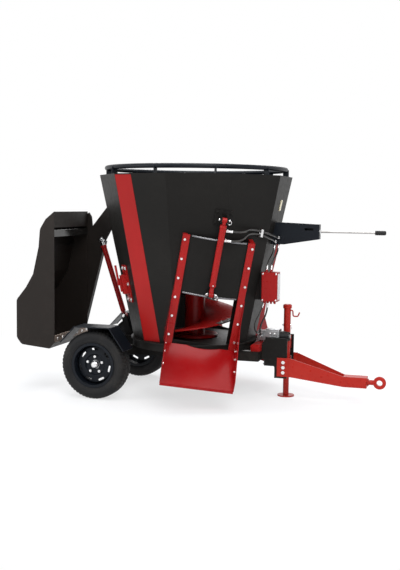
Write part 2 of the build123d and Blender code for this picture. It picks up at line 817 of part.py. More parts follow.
with BuildPart() as transfer_case:
    with BuildSketch(cross_plane(case_x, 0)) as case_outline:
        with BuildLine():
            Polyline((-case_width / 2, case_bottom), (case_width / 2, case_bottom),
                     (case_width / 2, case_shoulder),
                     (case_head / 2, case_shoulder + case_neck), (case_head / 2, case_top),
                     (-case_head / 2, case_top),
                     (-case_head / 2, case_shoulder + case_neck), (-case_width / 2, case_shoulder),
                     close=True)
        make_face()
        fillet(case_outline.vertices(), 2 * case_wall)
    extrude(amount=case_length)
    chamfer(transfer_case.faces().sort_by(Axis.X)[-1].edges(), case_wall / 2)
    with BuildSketch(cross_plane(case_x + case_wall, 0)):
        with Locations((0, drive_height)):
            Circle(low_gear_diameter / 2 + slide_gap)
        with Locations((0, pto_height)):
            Circle(pto_gear_diameter / 2 + slide_gap)
    extrude(amount=case_length - 2 * case_wall, mode=Mode.SUBTRACT)
    with BuildSketch(cross_plane(case_x, drive_height)):
        Circle(drive_shaft_diameter / 2 + running_gap)
    extrude(amount=case_wall, mode=Mode.SUBTRACT)
    with BuildSketch(cross_plane(case_x + case_length / 2, pto_height)):
        Circle(pto_bearing / 2 + running_gap)
    extrude(amount=case_length / 2, mode=Mode.SUBTRACT)
write(transfer_case.part, "transfer_case")

gear_back_x = case_x + (case_length - case_gear_width) / 2
with BuildPart() as pto_shaft:
    with BuildSketch(cross_plane(gear_back_x, pto_height)):
        Circle(pto_gear_diameter / 2)
    extrude(amount=case_gear_width)
    with BuildSketch(cross_plane(gear_back_x, pto_height)):
        Circle(pto_bearing / 2)
    extrude(amount=case_front_x - gear_back_x)
    with BuildSketch(cross_plane(case_front_x, pto_height)):
        Circle(pto_diameter / 2)
    extrude(amount=pto_stub)
    chamfer(pto_shaft.edges().group_by(Axis.X)[-1], pto_diameter / 12)
write(pto_shaft.part, "pto_shaft")

pinion_x = crown_diameter / 2 - pinion_length
with BuildPart() as drive_shaft:
    with BuildSketch(cross_plane(pinion_x, drive_height)):
        Circle(pinion_diameter / 2)
    extrude(amount=pinion_length - seat_gap)
    with BuildSketch(cross_plane(pinion_x, drive_height)):
        Circle(drive_shaft_diameter / 2)
    extrude(amount=gear_back_x + case_gear_width - pinion_x)
    with BuildSketch(cross_plane(gear_back_x, drive_height)):
        Circle(low_gear_diameter / 2)
    extrude(amount=case_gear_width)
write(drive_shaft.part, "drive_shaft")

with BuildPart() as hydraulic_pump:
    with BuildSketch(cross_plane(case_x, pto_height)):
        RectangleRounded(pump_width, pump_height, pump_width / 6)
    extrude(amount=-pump_length)
    with BuildSketch(cross_plane(case_x - pump_length / 3, pto_height)):
        RectangleRounded(pump_width + 2 * case_wall, pump_height / 2, case_wall)
    extrude(amount=-case_wall)
    for route, diameter in zip(pump_hose_routes, (pump_hose_diameter, return_hose_diameter)):
        plane, radius = fitting(route[-1], route[-2], diameter)
        with BuildSketch(plane):
            Circle(radius)
        extrude(amount=2 * fitting_length)
write(hydraulic_pump.part, "hydraulic_pump")

with BuildPart() as pto_shield:
    with BuildSketch(cross_plane(case_front_x, pto_height)):
        Circle(shield_root_radius)
    with BuildSketch(cross_plane(case_front_x + shield_length, pto_height)):
        Circle(shield_mouth_radius)
    loft()
    with BuildSketch(cross_plane(case_front_x, pto_height)):
        Circle(shield_root_radius - shield_wall)
    with BuildSketch(cross_plane(case_front_x + shield_length, pto_height)):
        Circle(shield_mouth_radius - shield_wall)
    loft(mode=Mode.SUBTRACT)
write(pto_shield.part, "pto_shield")

# Red cover over the front member, from the tub's floor to the hitch, under the pump
cover_width = rail_spread - rail_width
cover_back_x = floor_radius + rail_wall
cover_front_x = front_beam_x + front_beam_length
cover_top = pto_height - pump_height / 2 - rail_wall
with BuildPart() as shaft_guard:
    with BuildSketch(tub_level(rail_head)):
        with Locations(((cover_back_x + cover_front_x) / 2, 0)):
            Rectangle(cover_front_x - cover_back_x, cover_width)
    extrude(amount=cover_top - rail_head)
    chamfer(shaft_guard.edges().group_by(Axis.Z)[-1], 2 * rail_wall)
    with BuildSketch(tub_level(rail_head)):
        with Locations(((cover_back_x + cover_front_x) / 2, 0)):
            Rectangle(cover_front_x - cover_back_x - 2 * rail_wall, cover_width - 2 * rail_wall)
    extrude(amount=cover_top - rail_head - 3 * rail_wall, mode=Mode.SUBTRACT)
write(shaft_guard.part, "shaft_guard")

# Hitch plates: two upright plates on a back plate that is bolted to the front member
bolt_heights = [drawbar_root_bottom + (drawbar_root_top - drawbar_root_bottom) / 2 + bolt_pitch * (row - 1)
                for row in range(bolt_rows)]
plate_outer_y = plate_spread / 2 + plate_thickness
with BuildPart() as hitch_plates:
    for side in (-1, 1):
        with BuildSketch(side_plane(side * plate_spread / 2)) as plate_face:
            with BuildLine():
                Polyline((plate_back_x, rail_bottom), (plate_back_x, rail_head + band_height),
                         (plate_back_x + plate_thickness * 4, plate_top), (plate_front_x, plate_top),
                         (plate_front_x, plate_bottom), (plate_leg_x, plate_bottom),
                         (plate_leg_x, rail_bottom),
                         close=True)
            make_face()
            fillet(plate_face.vertices().filter_by(
                lambda corner: abs(corner.X - plate_leg_x) + abs(corner.Y - rail_bottom) < 1), plate_corner)
            with Locations(*[(bolt_row_x, height) for height in bolt_heights]):
                Circle(bolt_diameter / 2 + bolt_gap, mode=Mode.SUBTRACT)
        extrude(amount=-side * plate_thickness)
    with BuildSketch(cross_plane(plate_back_x, 0)):
        with Locations((0, (rail_bottom + rail_head) / 2)):
            Rectangle(plate_spread, rail_height)
        with Locations((0, drive_height)):
            Circle(shaft_passage / 2, mode=Mode.SUBTRACT)
    extrude(amount=plate_thickness)
write(hitch_plates.part, "hitch_plates")

# Drawbar: two folded plates that close in to a nose block, which carries the swivel eye
nose_block_x = drawbar_front_x - eye_shank_length / 2
eye_height = (drawbar_nose_top + drawbar_nose_bottom) / 2
with BuildPart() as drawbar_profile:
    with BuildSketch(side_plane(0)):
        with BuildLine():
            Polyline((drawbar_start_x, drawbar_root_bottom), (drawbar_start_x, drawbar_root_top),
                     (drawbar_bend_x, drawbar_root_top), (drawbar_nose_x, drawbar_nose_top),
                     (drawbar_front_x, drawbar_nose_top), (drawbar_front_x, drawbar_nose_bottom),
                     (drawbar_nose_x, drawbar_nose_bottom), (drawbar_bend_x, drawbar_root_bottom),
                     close=True)
        make_face()
    extrude(amount=plate_spread, both=True)
with BuildPart() as drawbar:
    for side in (-1, 1):
        with BuildSketch(tub_level(0)):
            with BuildLine():
                Polyline((drawbar_start_x, side * plate_outer_y), (drawbar_bend_x, side * plate_outer_y),
                         (drawbar_nose_x, side * drawbar_nose_half),
                         (drawbar_front_x, side * drawbar_nose_half),
                         (drawbar_front_x, side * (drawbar_nose_half + drawbar_plate)),
                         (drawbar_nose_x, side * (drawbar_nose_half + drawbar_plate)),
                         (drawbar_bend_x, side * (plate_outer_y + drawbar_plate)),
                         (drawbar_start_x, side * (plate_outer_y + drawbar_plate)), close=True)
            make_face()
        extrude(amount=rail_head)
    add(drawbar_profile.part, mode=Mode.INTERSECT)
    with BuildSketch(cross_plane(drawbar_front_x, eye_height)):
        Rectangle(2 * drawbar_nose_half, drawbar_nose_top - drawbar_nose_bottom)
    extrude(amount=nose_block_x - drawbar_front_x)
    with BuildSketch(tub_level(drawbar_nose_top - drawbar_plate)):
        with Locations(((drawbar_nose_x + nose_block_x) / 2, 0)):
            Rectangle(nose_block_x - drawbar_nose_x, 2 * drawbar_nose_half)
    extrude(amount=drawbar_plate)
    with BuildSketch(cross_plane(drawbar_front_x, eye_height)):
        Circle(eye_shank / 2 + running_gap)
    extrude(amount=nose_block_x - drawbar_front_x, mode=Mode.SUBTRACT)
    with BuildSketch(side_plane(0)):
        with Locations(*[(bolt_row_x, height) for height in bolt_heights]):
            Circle(bolt_diameter / 2 + bolt_gap)
    extrude(amount=plate_spread, both=True, mode=Mode.SUBTRACT)
write(drawbar.part, "drawbar")

with BuildPart() as drawbar_bolts:
    for height in bolt_heights:
        with BuildSketch(Plane(origin=(tub_x + bolt_row_x, -plate_spread / 2 + bolt_head_height, height),
                               x_dir=(1, 0, 0), z_dir=(0, -1, 0))):
            Circle(bolt_diameter / 2)
        extrude(amount=plate_thickness + drawbar_plate + bolt_head_height)
        for start, end in ((-plate_outer_y - drawbar_plate, -bolt_head_height),
                           (-plate_spread / 2, bolt_head_height)):
            with BuildSketch(Plane(origin=(tub_x + bolt_row_x, start, height), x_dir=(1, 0, 0),
                                   z_dir=(0, 1, 0))):
                RegularPolygon(bolt_head / 2, 6, major_radius=False)
            extrude(amount=end)
    mirror(about=Plane.XZ)
write(drawbar_bolts.part, "drawbar_bolts")

eye_centre_x = front_reach - eye_outer_diameter / 2
with BuildPart() as tow_eye:
    with BuildSketch(cross_plane(nose_block_x, eye_height)):
        Circle(eye_shank / 2)
    extrude(amount=eye_centre_x - eye_bore / 2 - (eye_outer_diameter - eye_bore) / 4 - nose_block_x)
    with BuildSketch(cross_plane(drawbar_front_x + seat_gap, eye_height)):
        Circle(eye_collar / 2)
    extrude(amount=drawbar_plate)
    with BuildSketch(Plane(origin=(tub_x + eye_centre_x, 0, eye_height), x_dir=(1, 0, 0),
                           z_dir=(0, -1, 0))):
        Circle(eye_outer_diameter / 2)
    extrude(amount=eye_thickness / 2, both=True)
    round_edges = tow_eye.edges().filter_by(GeomType.CIRCLE)
    fillet(round_edges.filter_by(lambda edge: abs(edge.radius - eye_outer_diameter / 2) < 1),
           eye_thickness / 4)
    with BuildSketch(Plane(origin=(tub_x + eye_centre_x, 0, eye_height), x_dir=(1, 0, 0),
                           z_dir=(0, -1, 0))):
        Circle(eye_bore / 2)
    extrude(amount=eye_thickness, both=True, mode=Mode.SUBTRACT)
write(tow_eye.part, "tow_eye")

# Jack: sleeve on the left hitch plate, sliding leg with a foot, and a hook for the hoses
with BuildPart() as jack_sleeve:
    with BuildSketch(Plane(origin=(tub_x + jack_x, jack_y, jack_tube_bottom))):
        Circle(jack_tube_diameter / 2)
    extrude(amount=jack_cap_top - jack_cap_height - jack_tube_bottom)
    with BuildSketch(Plane(origin=(tub_x + jack_x, jack_y, jack_cap_top - jack_cap_height))):
        Circle(jack_cap_diameter / 2)
    extrude(amount=jack_cap_height)
    chamfer(jack_sleeve.edges().group_by(Axis.Z)[-1], jack_cap_height / 4)
    with BuildSketch(Plane(origin=(tub_x + jack_x, jack_y, plate_top - plate_thickness))):
        with Locations((0, (plate_spread / 2 - jack_y) / 2)):
            Rectangle(jack_tube_diameter, plate_spread / 2 - jack_y)
    extrude(amount=-jack_block_height)
    with BuildSketch(Plane(origin=(tub_x + jack_x, jack_y, jack_tube_bottom))):
        Circle(jack_tube_diameter / 2 - jack_tube_wall)
    extrude(amount=jack_cap_top - jack_cap_height - jack_tube_bottom, mode=Mode.SUBTRACT)
write(jack_sleeve.part, "jack_sleeve")

with BuildPart() as jack_leg:
    with BuildSketch(Plane(origin=(tub_x + jack_x, jack_y, 0))):
        Circle(jack_foot_diameter / 2)
    extrude(amount=jack_foot_thickness)
    with BuildSketch(Plane(origin=(tub_x + jack_x, jack_y, 0))):
        Circle(jack_tube_diameter / 2 - jack_tube_wall - running_gap)
    extrude(amount=jack_leg_top)
    with BuildSketch(Plane(origin=(tub_x + jack_x, jack_y, jack_foot_thickness))):
        Circle(jack_tube_diameter / 2 - 2 * jack_tube_wall - running_gap)
    extrude(amount=jack_leg_top, mode=Mode.SUBTRACT)
write(jack_leg.part, "jack_leg")

hook_root = Vector(tub_x + jack_x + jack_tube_diameter / 2 - hook_wire / 4, jack_y,
                   jack_cap_top - jack_cap_height - 1.5 * hook_wire)
with BuildPart() as hose_hook:
    with BuildLine() as hook_line:
        FilletPolyline(hook_root, hook_root + Vector(1.7 * hook_wire, 0, -0.3 * hook_wire),
                       hook_root + Vector(2 * hook_wire, 0, -4.5 * hook_wire),
                       hook_root + Vector(5.5 * hook_wire, 0, -4.5 * hook_wire),
                       hook_root + Vector(6.8 * hook_wire, 0, -1.5 * hook_wire), radius=1.2 * hook_wire)
    with BuildSketch(Plane(origin=hook_root, z_dir=hook_line.line @ 0.01 - hook_root)):
        Circle(hook_wire / 2)
    sweep(path=hook_line.wires()[0])
    with BuildSketch(Plane(origin=(tub_x + jack_x, jack_y, hook_root.Z))):
        Circle(jack_tube_diameter / 2)
    extrude(amount=jack_cap_height, both=True, mode=Mode.SUBTRACT)
write(hose_hook.part, "hose_hook")

# Control box on its bracket at the tub's front right, and the tapered beam with the pull lever
with BuildPart() as control_box:
    with BuildSketch(Plane(origin=(tub_x + box_back_x + box_length / 2, box_y, box_bottom))):
        Rectangle(box_length, box_depth)
    extrude(amount=box_height)
    fillet(control_box.edges().filter_by(Axis.Z), box_plate)
    with BuildSketch(Plane(origin=(tub_x + box_back_x + box_length / 2, box_y,
                                   box_bottom + box_plate / 2))):
        Rectangle(box_length - box_plate, box_depth - box_plate)
    extrude(amount=box_height - box_plate, mode=Mode.SUBTRACT)
    box_ends = [(route[-1], route[-2], control_hose_diameter) for route in control_hose_routes]
    box_ends += [(route[0], route[1], diameter)
                 for route, diameter in zip(pump_hose_routes, (pump_hose_diameter, return_hose_diameter))]
    for end, before, diameter in box_ends:
        plane, radius = fitting(end, before, diameter)
        with BuildSketch(plane):
            Circle(radius)
        extrude(amount=fitting_length + box_plate)
write(control_box.part, "control_box")

with BuildPart() as box_bracket:
    with BuildSketch(Plane(origin=(tub_x, box_y + box_plate / 2, 0), x_dir=(1, 0, 0), z_dir=(0, -1, 0))):
        with Locations(((base_apothem + box_back_x - box_plate) / 2, box_bottom + box_height / 2)):
            Rectangle(box_back_x - box_plate - base_apothem, box_height - 2 * box_plate)
    extrude(amount=box_plate)
    with BuildSketch(cross_plane(box_back_x, box_bottom + box_height / 2)):
        with Locations((box_y, 0)):
            Rectangle(box_depth - 2 * box_plate, box_height - 2 * box_plate)
    extrude(amount=-box_plate)
    add(tub_block.part, mode=Mode.SUBTRACT)
write(box_bracket.part, "box_bracket")

lever_height = (beam_tip_low + beam_tip_high) / 2
with BuildPart() as control_beam:
    with BuildSketch(side_plane(0)):
        with BuildLine():
            Polyline((base_apothem, beam_root_low), (top_apothem - tub_wall, beam_root_low),
                     (beam_tip_x, beam_tip_low),
                     (beam_tip_x, beam_tip_high), (top_apothem - tub_wall, beam_root_high),
                     (base_apothem, beam_root_high), close=True)
        make_face()
    extrude(amount=beam_width / 2, both=True)
    with BuildSketch(side_plane(0)):
        with BuildLine():
            Polyline((base_apothem, beam_root_low + beam_wall),
                     (top_apothem - tub_wall, beam_root_low + beam_wall),
                     (beam_tip_x - beam_wall, beam_tip_low + beam_wall),
                     (beam_tip_x - beam_wall, beam_tip_high - beam_wall),
                     (top_apothem - tub_wall, beam_root_high - beam_wall),
                     (base_apothem, beam_root_high - beam_wall), close=True)
        make_face()
    extrude(amount=beam_width / 2 - beam_wall, both=True, mode=Mode.SUBTRACT)
    with BuildSketch(side_plane(0)):
        with Locations((0.3 * top_apothem + 0.7 * beam_tip_x, beam_root_high - 11 * beam_wall)):
            SlotOverall(beam_width, 4 * beam_wall)
    extrude(amount=beam_width, mode=Mode.SUBTRACT)
    with BuildSketch(cross_plane(beam_tip_x, lever_height)):
        Circle(lever_diameter / 2 + running_gap)
    extrude(amount=-2 * beam_wall, mode=Mode.SUBTRACT)
    for route in control_hose_routes:
        plane, radius = fitting(route[0], route[1], control_hose_diameter)
        with BuildSketch(plane):
            Circle(radius)
        extrude(amount=fitting_length)
    for route in door_hose_routes:
        plane, radius = fitting(route[-1], route[-2], hose_diameter)
        with BuildSketch(plane):
            Circle(radius)
        fittings = extrude(amount=fitting_length + 2 * beam_wall)
        mirror(fittings, about=Plane.XZ)
    add(tub_block.part, mode=Mode.SUBTRACT)
write(control_beam.part, "control_beam")

with BuildPart() as control_lever:
    with BuildSketch(cross_plane(beam_tip_x - lever_inside, lever_height)):
        Circle(lever_diameter / 2)
    extrude(amount=lever_inside + lever_length)
write(control_lever.part, "control_lever")

with BuildPart() as lever_knob:
    with BuildSketch(cross_plane(beam_tip_x + lever_length, lever_height)):
        Circle(knob_diameter / 2)
    extrude(amount=knob_length)
    fillet(lever_knob.edges().group_by(Axis.X)[-1], knob_diameter / 3)
write(lever_knob.part, "lever_knob")

# Door rails: a bar on each side of the door with a lip over its edge, trimmed to the tub's wall
rail_inside = door_width / 2 + slide_gap
rail_outside = rail_inside + rail_bar
door_half_angle = asin(door_width / 2 / door_bow_radius)
door_lip_edge = rail_inside - rail_lip
lip_back = door_bow_radius * (cos(asin(door_lip_edge / door_bow_radius)) - 1) + slide_gap
rail_front = lip_back + rail_lip_sheet
rail_length = rail_top - rail_foot
with BuildPart() as door_rails:
    for side in (-1, 1):
        with BuildSketch(door_section(rail_top)):
            with Locations((side * (rail_inside + rail_outside) / 2, rail_front - rail_depth / 2)):
                Rectangle(rail_bar, rail_depth)
            with Locations((side * (door_lip_edge + rail_outside) / 2, rail_front - rail_lip_sheet / 2)):
                Rectangle(rail_outside - door_lip_edge, rail_lip_sheet)
        extrude(amount=rail_length)
    add(tub_block.part, mode=Mode.SUBTRACT)
    with BuildSketch(tub_level(0)):
        Circle(floor_radius)
    extrude(amount=floor_top, mode=Mode.SUBTRACT)
    mirror(about=Plane.XZ)
write(door_rails.part, "door_rails")

with BuildPart() as rail_bolts:
    for side in (-1, 1):
        with BuildSketch(door_face(rail_front)):
            with Locations(*[(side * (rail_inside + rail_outside) / 2,
                              rail_bolt_first + rail_bolt_pitch * step)
                             for step in range(rail_bolt_count)]):
                RegularPolygon(bolt_head / 3, 6, major_radius=False)
        extrude(amount=bolt_head_height * 2 / 3)
    mirror(about=Plane.XZ)
write(rail_bolts.part, "rail_bolts")

# Doors: a bowed sheet with a lug for the rod, shown raised
panel_top = door_open + door_height
with BuildPart() as door_panel:
    with BuildSketch(door_section(panel_top)):
        with BuildLine():
            outer = CenterArc((0, -door_bow_radius), door_bow_radius, 90 - degrees(door_half_angle),
                              2 * degrees(door_half_angle))
            inner = CenterArc((0, -door_bow_radius), door_bow_radius - door_sheet,
                              90 - degrees(door_half_angle),
                              2 * degrees(door_half_angle))
            Line(outer @ 0, inner @ 0)
            Line(outer @ 1, inner @ 1)
        make_face()
    extrude(amount=door_height)
    for side in (-1, 1):
        with BuildSketch(door_flank(side * clevis_pin)):
            with BuildLine():
                Polyline((door_open + clevis_above_edge - clevis_pin * 1.5, -door_sheet / 2),
                         (door_open + clevis_above_edge - clevis_pin, barrel_rise + clevis_pin),
                         (door_open + clevis_above_edge + clevis_pin, barrel_rise + clevis_pin),
                         (door_open + clevis_above_edge + clevis_pin * 1.5, -door_sheet / 2), close=True)
            make_face()
        extrude(amount=side * ear_plate * 2 / 3)
    with BuildSketch(door_flank(0)):
        with Locations((door_open + clevis_above_edge, barrel_rise)):
            Circle(clevis_pin / 2)
    extrude(amount=clevis_pin * 1.9, both=True)

# Door cylinders: rod with a piston, and a barrel that hangs from a bracket on the tub
piston_top = cap_along - piston_length / 2


def rod_section(along):
    """Plane square to a door cylinder's axis at a place along the slide, extruding downwards."""
    return Plane(origin=door_foot + door_slide * along + door_normal * barrel_rise, x_dir=door_side,
                 z_dir=-door_slide)


with BuildPart() as door_rod:
    with BuildSketch(rod_section(piston_top)):
        Circle(barrel_bore / 2 - running_gap)
    extrude(amount=piston_length)
    with BuildSketch(rod_section(piston_top)):
        Circle(rod_diameter / 2)
    extrude(amount=piston_top - clevis_along)
    with BuildSketch(door_flank(0)):
        with Locations((clevis_along, barrel_rise)):
            Circle(clevis_pin)
    extrude(amount=clevis_pin - seat_gap, both=True)
    with BuildSketch(door_flank(0)):
        with Locations((clevis_along, barrel_rise)):
            Circle(clevis_pin / 2 + running_gap)
    extrude(amount=2 * clevis_pin, both=True, mode=Mode.SUBTRACT)

with BuildPart() as door_barrel:
    with BuildSketch(rod_section(cap_along)):
        Circle(barrel_diameter / 2)
    extrude(amount=barrel_length)
    with BuildSketch(rod_section(cap_along - piston_length / 4)):
        Circle(barrel_bore / 2)
    extrude(amount=barrel_length - piston_length / 2, mode=Mode.SUBTRACT)
    with BuildSketch(rod_section(cap_along - piston_length / 4)):
        Circle(rod_diameter / 2 + running_gap)
    extrude(amount=barrel_length, mode=Mode.SUBTRACT)
    with BuildSketch(rod_section(cap_along)):
        Rectangle(barrel_diameter / 2, barrel_diameter / 2)
    extrude(amount=-barrel_eye_above_cap)
    with BuildSketch(door_flank(0)):
        with Locations((eye_along, barrel_rise)):
            Circle(clevis_pin)
    extrude(amount=clevis_pin - seat_gap, both=True)
    with BuildSketch(door_flank(0)):
        with Locations((eye_along, barrel_rise)):
            Circle(clevis_pin / 2 + running_gap)
    extrude(amount=2 * clevis_pin, both=True, mode=Mode.SUBTRACT)
    for along in port_places:
        with BuildSketch(Plane(origin=door_foot + door_slide * along + door_normal * barrel_rise
                               + door_side * (barrel_bore / 2 + 2 * running_gap), x_dir=door_slide,
                               z_dir=door_side)):
            Circle(port_diameter / 2)
        extrude(amount=port_reach - barrel_bore / 2 - 2 * running_gap)

with BuildPart() as barrel_brackets:
    for side in (-1, 1):
        with BuildSketch(door_flank(side * clevis_pin)):
            with BuildLine():
                Polyline((eye_along - 2 * clevis_pin, -4 * door_standoff),
                         (eye_along - clevis_pin, barrel_rise + clevis_pin),
                         (eye_along + clevis_pin, barrel_rise + clevis_pin),
                         (eye_along + 3 * clevis_pin, -4 * door_standoff),
                         close=True)
            make_face()
        extrude(amount=side * ear_plate)
    with BuildSketch(door_flank(0)):
        with Locations((eye_along, barrel_rise)):
            Circle(clevis_pin / 2)
    extrude(amount=2 * clevis_pin, both=True)
    with BuildSketch(door_face(2 * ear_plate - door_standoff)):
        with Locations((0, eye_along)):
            Rectangle(7 * clevis_pin, 6 * clevis_pin)
    extrude(amount=-3 * door_standoff)
    add(tub_block.part, mode=Mode.SUBTRACT)
    mirror(about=Plane.XZ)
write(barrel_brackets.part, "barrel_brackets")

# Chutes: sloping tray between two side plates, skewed towards the rear
with BuildPart() as chute_plan:
    with BuildSketch(door_section(opening_height)):
        with BuildLine():
            Polyline((-rail_outside - chute_sheet, -4 * rail_bar),
                     (-rail_outside - chute_sheet, rail_front),
                     (-rail_outside - chute_sheet - chute_skew, chute_reach),
                     (rail_outside + chute_sheet - chute_skew, chute_reach),
                     (rail_outside + chute_sheet, rail_front),
                     (rail_outside + chute_sheet, -4 * rail_bar), close=True)
        make_face()
    extrude(amount=opening_height + chute_drop * 2)
with BuildPart() as chute_hollow:
    with BuildSketch(door_section(opening_height)):
        with BuildLine():
            Polyline((-rail_outside, -4 * rail_bar), (-rail_outside, rail_front),
                     (-rail_outside - chute_skew, chute_reach), (rail_outside - chute_skew, chute_reach),
                     (rail_outside, rail_front), (rail_outside, -4 * rail_bar), close=True)
        make_face()
    extrude(amount=opening_height + chute_drop * 2)
chute_fall = -floor_thickness - chute_sheet
with BuildPart() as chute_tray:
    with BuildSketch(door_flank(0)):
        with BuildLine():
            Polyline((chute_fall, rail_front), (chute_fall - chute_drop, chute_reach),
                     (chute_fall - chute_drop - chute_sheet, chute_reach),
                     (chute_fall - chute_sheet, rail_front), close=True)
        make_face()
    extrude(amount=2 * rail_outside, both=True)
    add(chute_hollow.part, mode=Mode.INTERSECT)
with BuildPart() as chute:
    with BuildSketch(door_flank(0)):
        with BuildLine():
            Polyline((opening_height, -4 * rail_bar), (opening_height, rail_front),
                     (opening_height / 2, rail_front + rail_bar),
                     (chute_fall - chute_drop + chute_side_rise, chute_reach),
                     (chute_fall - chute_drop - chute_sheet, chute_reach),
                     (chute_fall - chute_sheet, rail_front), (rail_foot, -4 * rail_bar), close=True)
        make_face()
    extrude(amount=2 * rail_outside, both=True)
    add(chute_plan.part, mode=Mode.INTERSECT)
    add(chute_hollow.part, mode=Mode.SUBTRACT)
    add(chute_tray.part)
    add(tub_block.part, mode=Mode.SUBTRACT)
    with BuildSketch(tub_level(0)):
        Circle(floor_radius)
    extrude(amount=floor_top, mode=Mode.SUBTRACT)

for piece, name in ((door_panel, "door_panel"), (door_rod, "door_rod"), (door_barrel, "door_barrel"),
                    (chute, "chute")):
    write(piece.part, f"{name}_right")
    write(mirrored(piece.part), f"{name}_left")

# Loading bucket: a closed back and sides with a hood, open to the tub between the hood and the bottom lip
bucket_back_x = -rear_reach


bucket_depth = bucket_front_x - bucket_back_x
bucket_height = bucket_top - bucket_bottom
bucket_profile = ((0, 0.045), (0, 1), (0.226, 0.944), (0.371, 0.872), (0.408, 0.743), (0.558, 0.543),
                  (0.745, 0.446),
                  (1, 0.35), (1, 0.071), (0.874, 0.021), (0.137, 0))


def bucket_outline(inset):
    """Side outline of the bucket, drawn from the tub's axis, and moved in by an inset."""
    with BuildSketch(Plane.XY) as outline:
        with BuildLine():
            Polyline(*[(bucket_front_x - back * bucket_depth, bucket_bottom + rise * bucket_height)
                       for back, rise in bucket_profile], close=True)
        make_face()
        bend_x = bucket_front_x - 0.16 * bucket_depth
        fillet(outline.vertices().filter_by(lambda corner: corner.X < bend_x), bucket_bend)
        if inset:
            offset(amount=-inset, kind=Kind.INTERSECTION, mode=Mode.REPLACE)
    return outline.sketch


with BuildPart() as bucket_shell:
    with BuildSketch(side_plane(0)):
        add(bucket_outline(0))
    extrude(amount=bucket_half_width, both=True)
    with BuildSketch(side_plane(0)):
        add(bucket_outline(bucket_sheet))
    extrude(amount=bucket_half_width - bucket_sheet, both=True, mode=Mode.SUBTRACT)
    with BuildSketch(side_plane(0)):
        with Locations((bucket_front_x, (lip_top + hood_bottom) / 2)):
            Rectangle(4 * bucket_sheet, hood_bottom - lip_top)
    extrude(amount=bucket_half_width - bucket_sheet, both=True, mode=Mode.SUBTRACT)
write(bucket_shell.part, "bucket_shell")

with BuildPart() as bucket_beam:
    with BuildSketch(side_plane(0)):
        with Locations((bucket_front_x - bucket_beam_depth / 2, bucket_beam_top - bucket_beam_height / 2)):
            Rectangle(bucket_beam_depth, bucket_beam_height)
            Rectangle(bucket_beam_depth - 2 * bucket_sheet, bucket_beam_height - 2 * bucket_sheet,
                      mode=Mode.SUBTRACT)
    extrude(amount=bucket_half_width - bucket_sheet, both=True)
write(bucket_beam.part, "bucket_beam")

# Arm: a wide plate on the bucket's left side that narrows up to its pivot, with a flange down its front edge
arm_low_x = bucket_front_x - arm_foot_back
arm_low_z = bucket_bottom + arm_foot_rise
with BuildPart() as bucket_arm:
    with BuildSketch(side_plane(bucket_half_width)):
        with BuildLine():
            Polyline((arm_low_x, arm_low_z), (lift_pin_x + lift_eye / 2, lift_pin_z - arm_eye / 5),
                     (arm_pivot_x + arm_eye / 2, arm_pivot_z - arm_eye / 5),
                     (arm_pivot_x + arm_eye / 2, arm_pivot_z),
                     (arm_pivot_x - arm_eye / 2, arm_pivot_z + arm_eye / 5),
                     (bucket_front_x + arm_ear, hood_bottom),
                     (bucket_front_x + 0.8 * arm_ear, bucket_top - arm_ear),
                     (bucket_front_x + 0.3 * arm_ear, bucket_top - 0.2 * arm_ear),
                     (bucket_front_x - arm_ear, bucket_top - arm_ear),
                     (bucket_front_x - 2 * arm_ear, arm_low_z + 0.15 * bucket_height), close=True)
        make_face()
        with Locations((arm_pivot_x, arm_pivot_z)):
            Circle(arm_eye / 2)
            Circle(arm_pivot_pin / 2 + running_gap, mode=Mode.SUBTRACT)
    extrude(amount=-arm_plate)
    with BuildSketch(side_plane(bucket_half_width)):
        with BuildLine():
            Polyline((arm_low_x, arm_low_z), (lift_pin_x + lift_eye / 2, lift_pin_z - arm_eye / 5),
                     (lift_pin_x + lift_eye / 2 - arm_plate / 2, lift_pin_z - arm_eye / 5 + arm_plate / 2),
                     (arm_low_x - arm_plate / 2, arm_low_z), close=True)
        make_face()
    extrude(amount=-arm_plate - arm_flange)
    with BuildSketch(side_plane(bucket_half_width)):
        with Locations((lift_pin_x, lift_pin_z)):
            Circle(lift_pin / 2)
    extrude(amount=-arm_plate - arm_plate / 2)
write(bucket_arm.part, "bucket_arm")

# Pivot bracket on the tub's rear wall, and the lift cylinder's bracket on the axle
with BuildPart() as arm_bracket:
    for start, thick in ((bucket_half_width - seat_gap, ear_plate),
                         (bucket_half_width + arm_plate + seat_gap, -ear_plate)):
        with BuildSketch(side_plane(start)):
            with BuildLine():
                Polyline((arm_pivot_x - arm_eye / 3, arm_pivot_z - arm_eye / 4),
                         (-base_apothem, arm_pivot_z - 1.5 * arm_eye),
                         (-base_apothem, arm_pivot_z + arm_eye),
                         (arm_pivot_x - arm_eye / 3, arm_pivot_z + arm_eye / 4),
                         close=True)
            make_face()
        extrude(amount=thick)
    with BuildSketch(side_plane(bucket_half_width - seat_gap - ear_plate)):
        with Locations((arm_pivot_x, arm_pivot_z)):
            Circle(arm_pivot_pin / 2)
    extrude(amount=-(arm_plate + 2 * seat_gap + 2 * ear_plate))
    add(tub_block.part, mode=Mode.SUBTRACT)
write(arm_bracket.part, "arm_bracket")

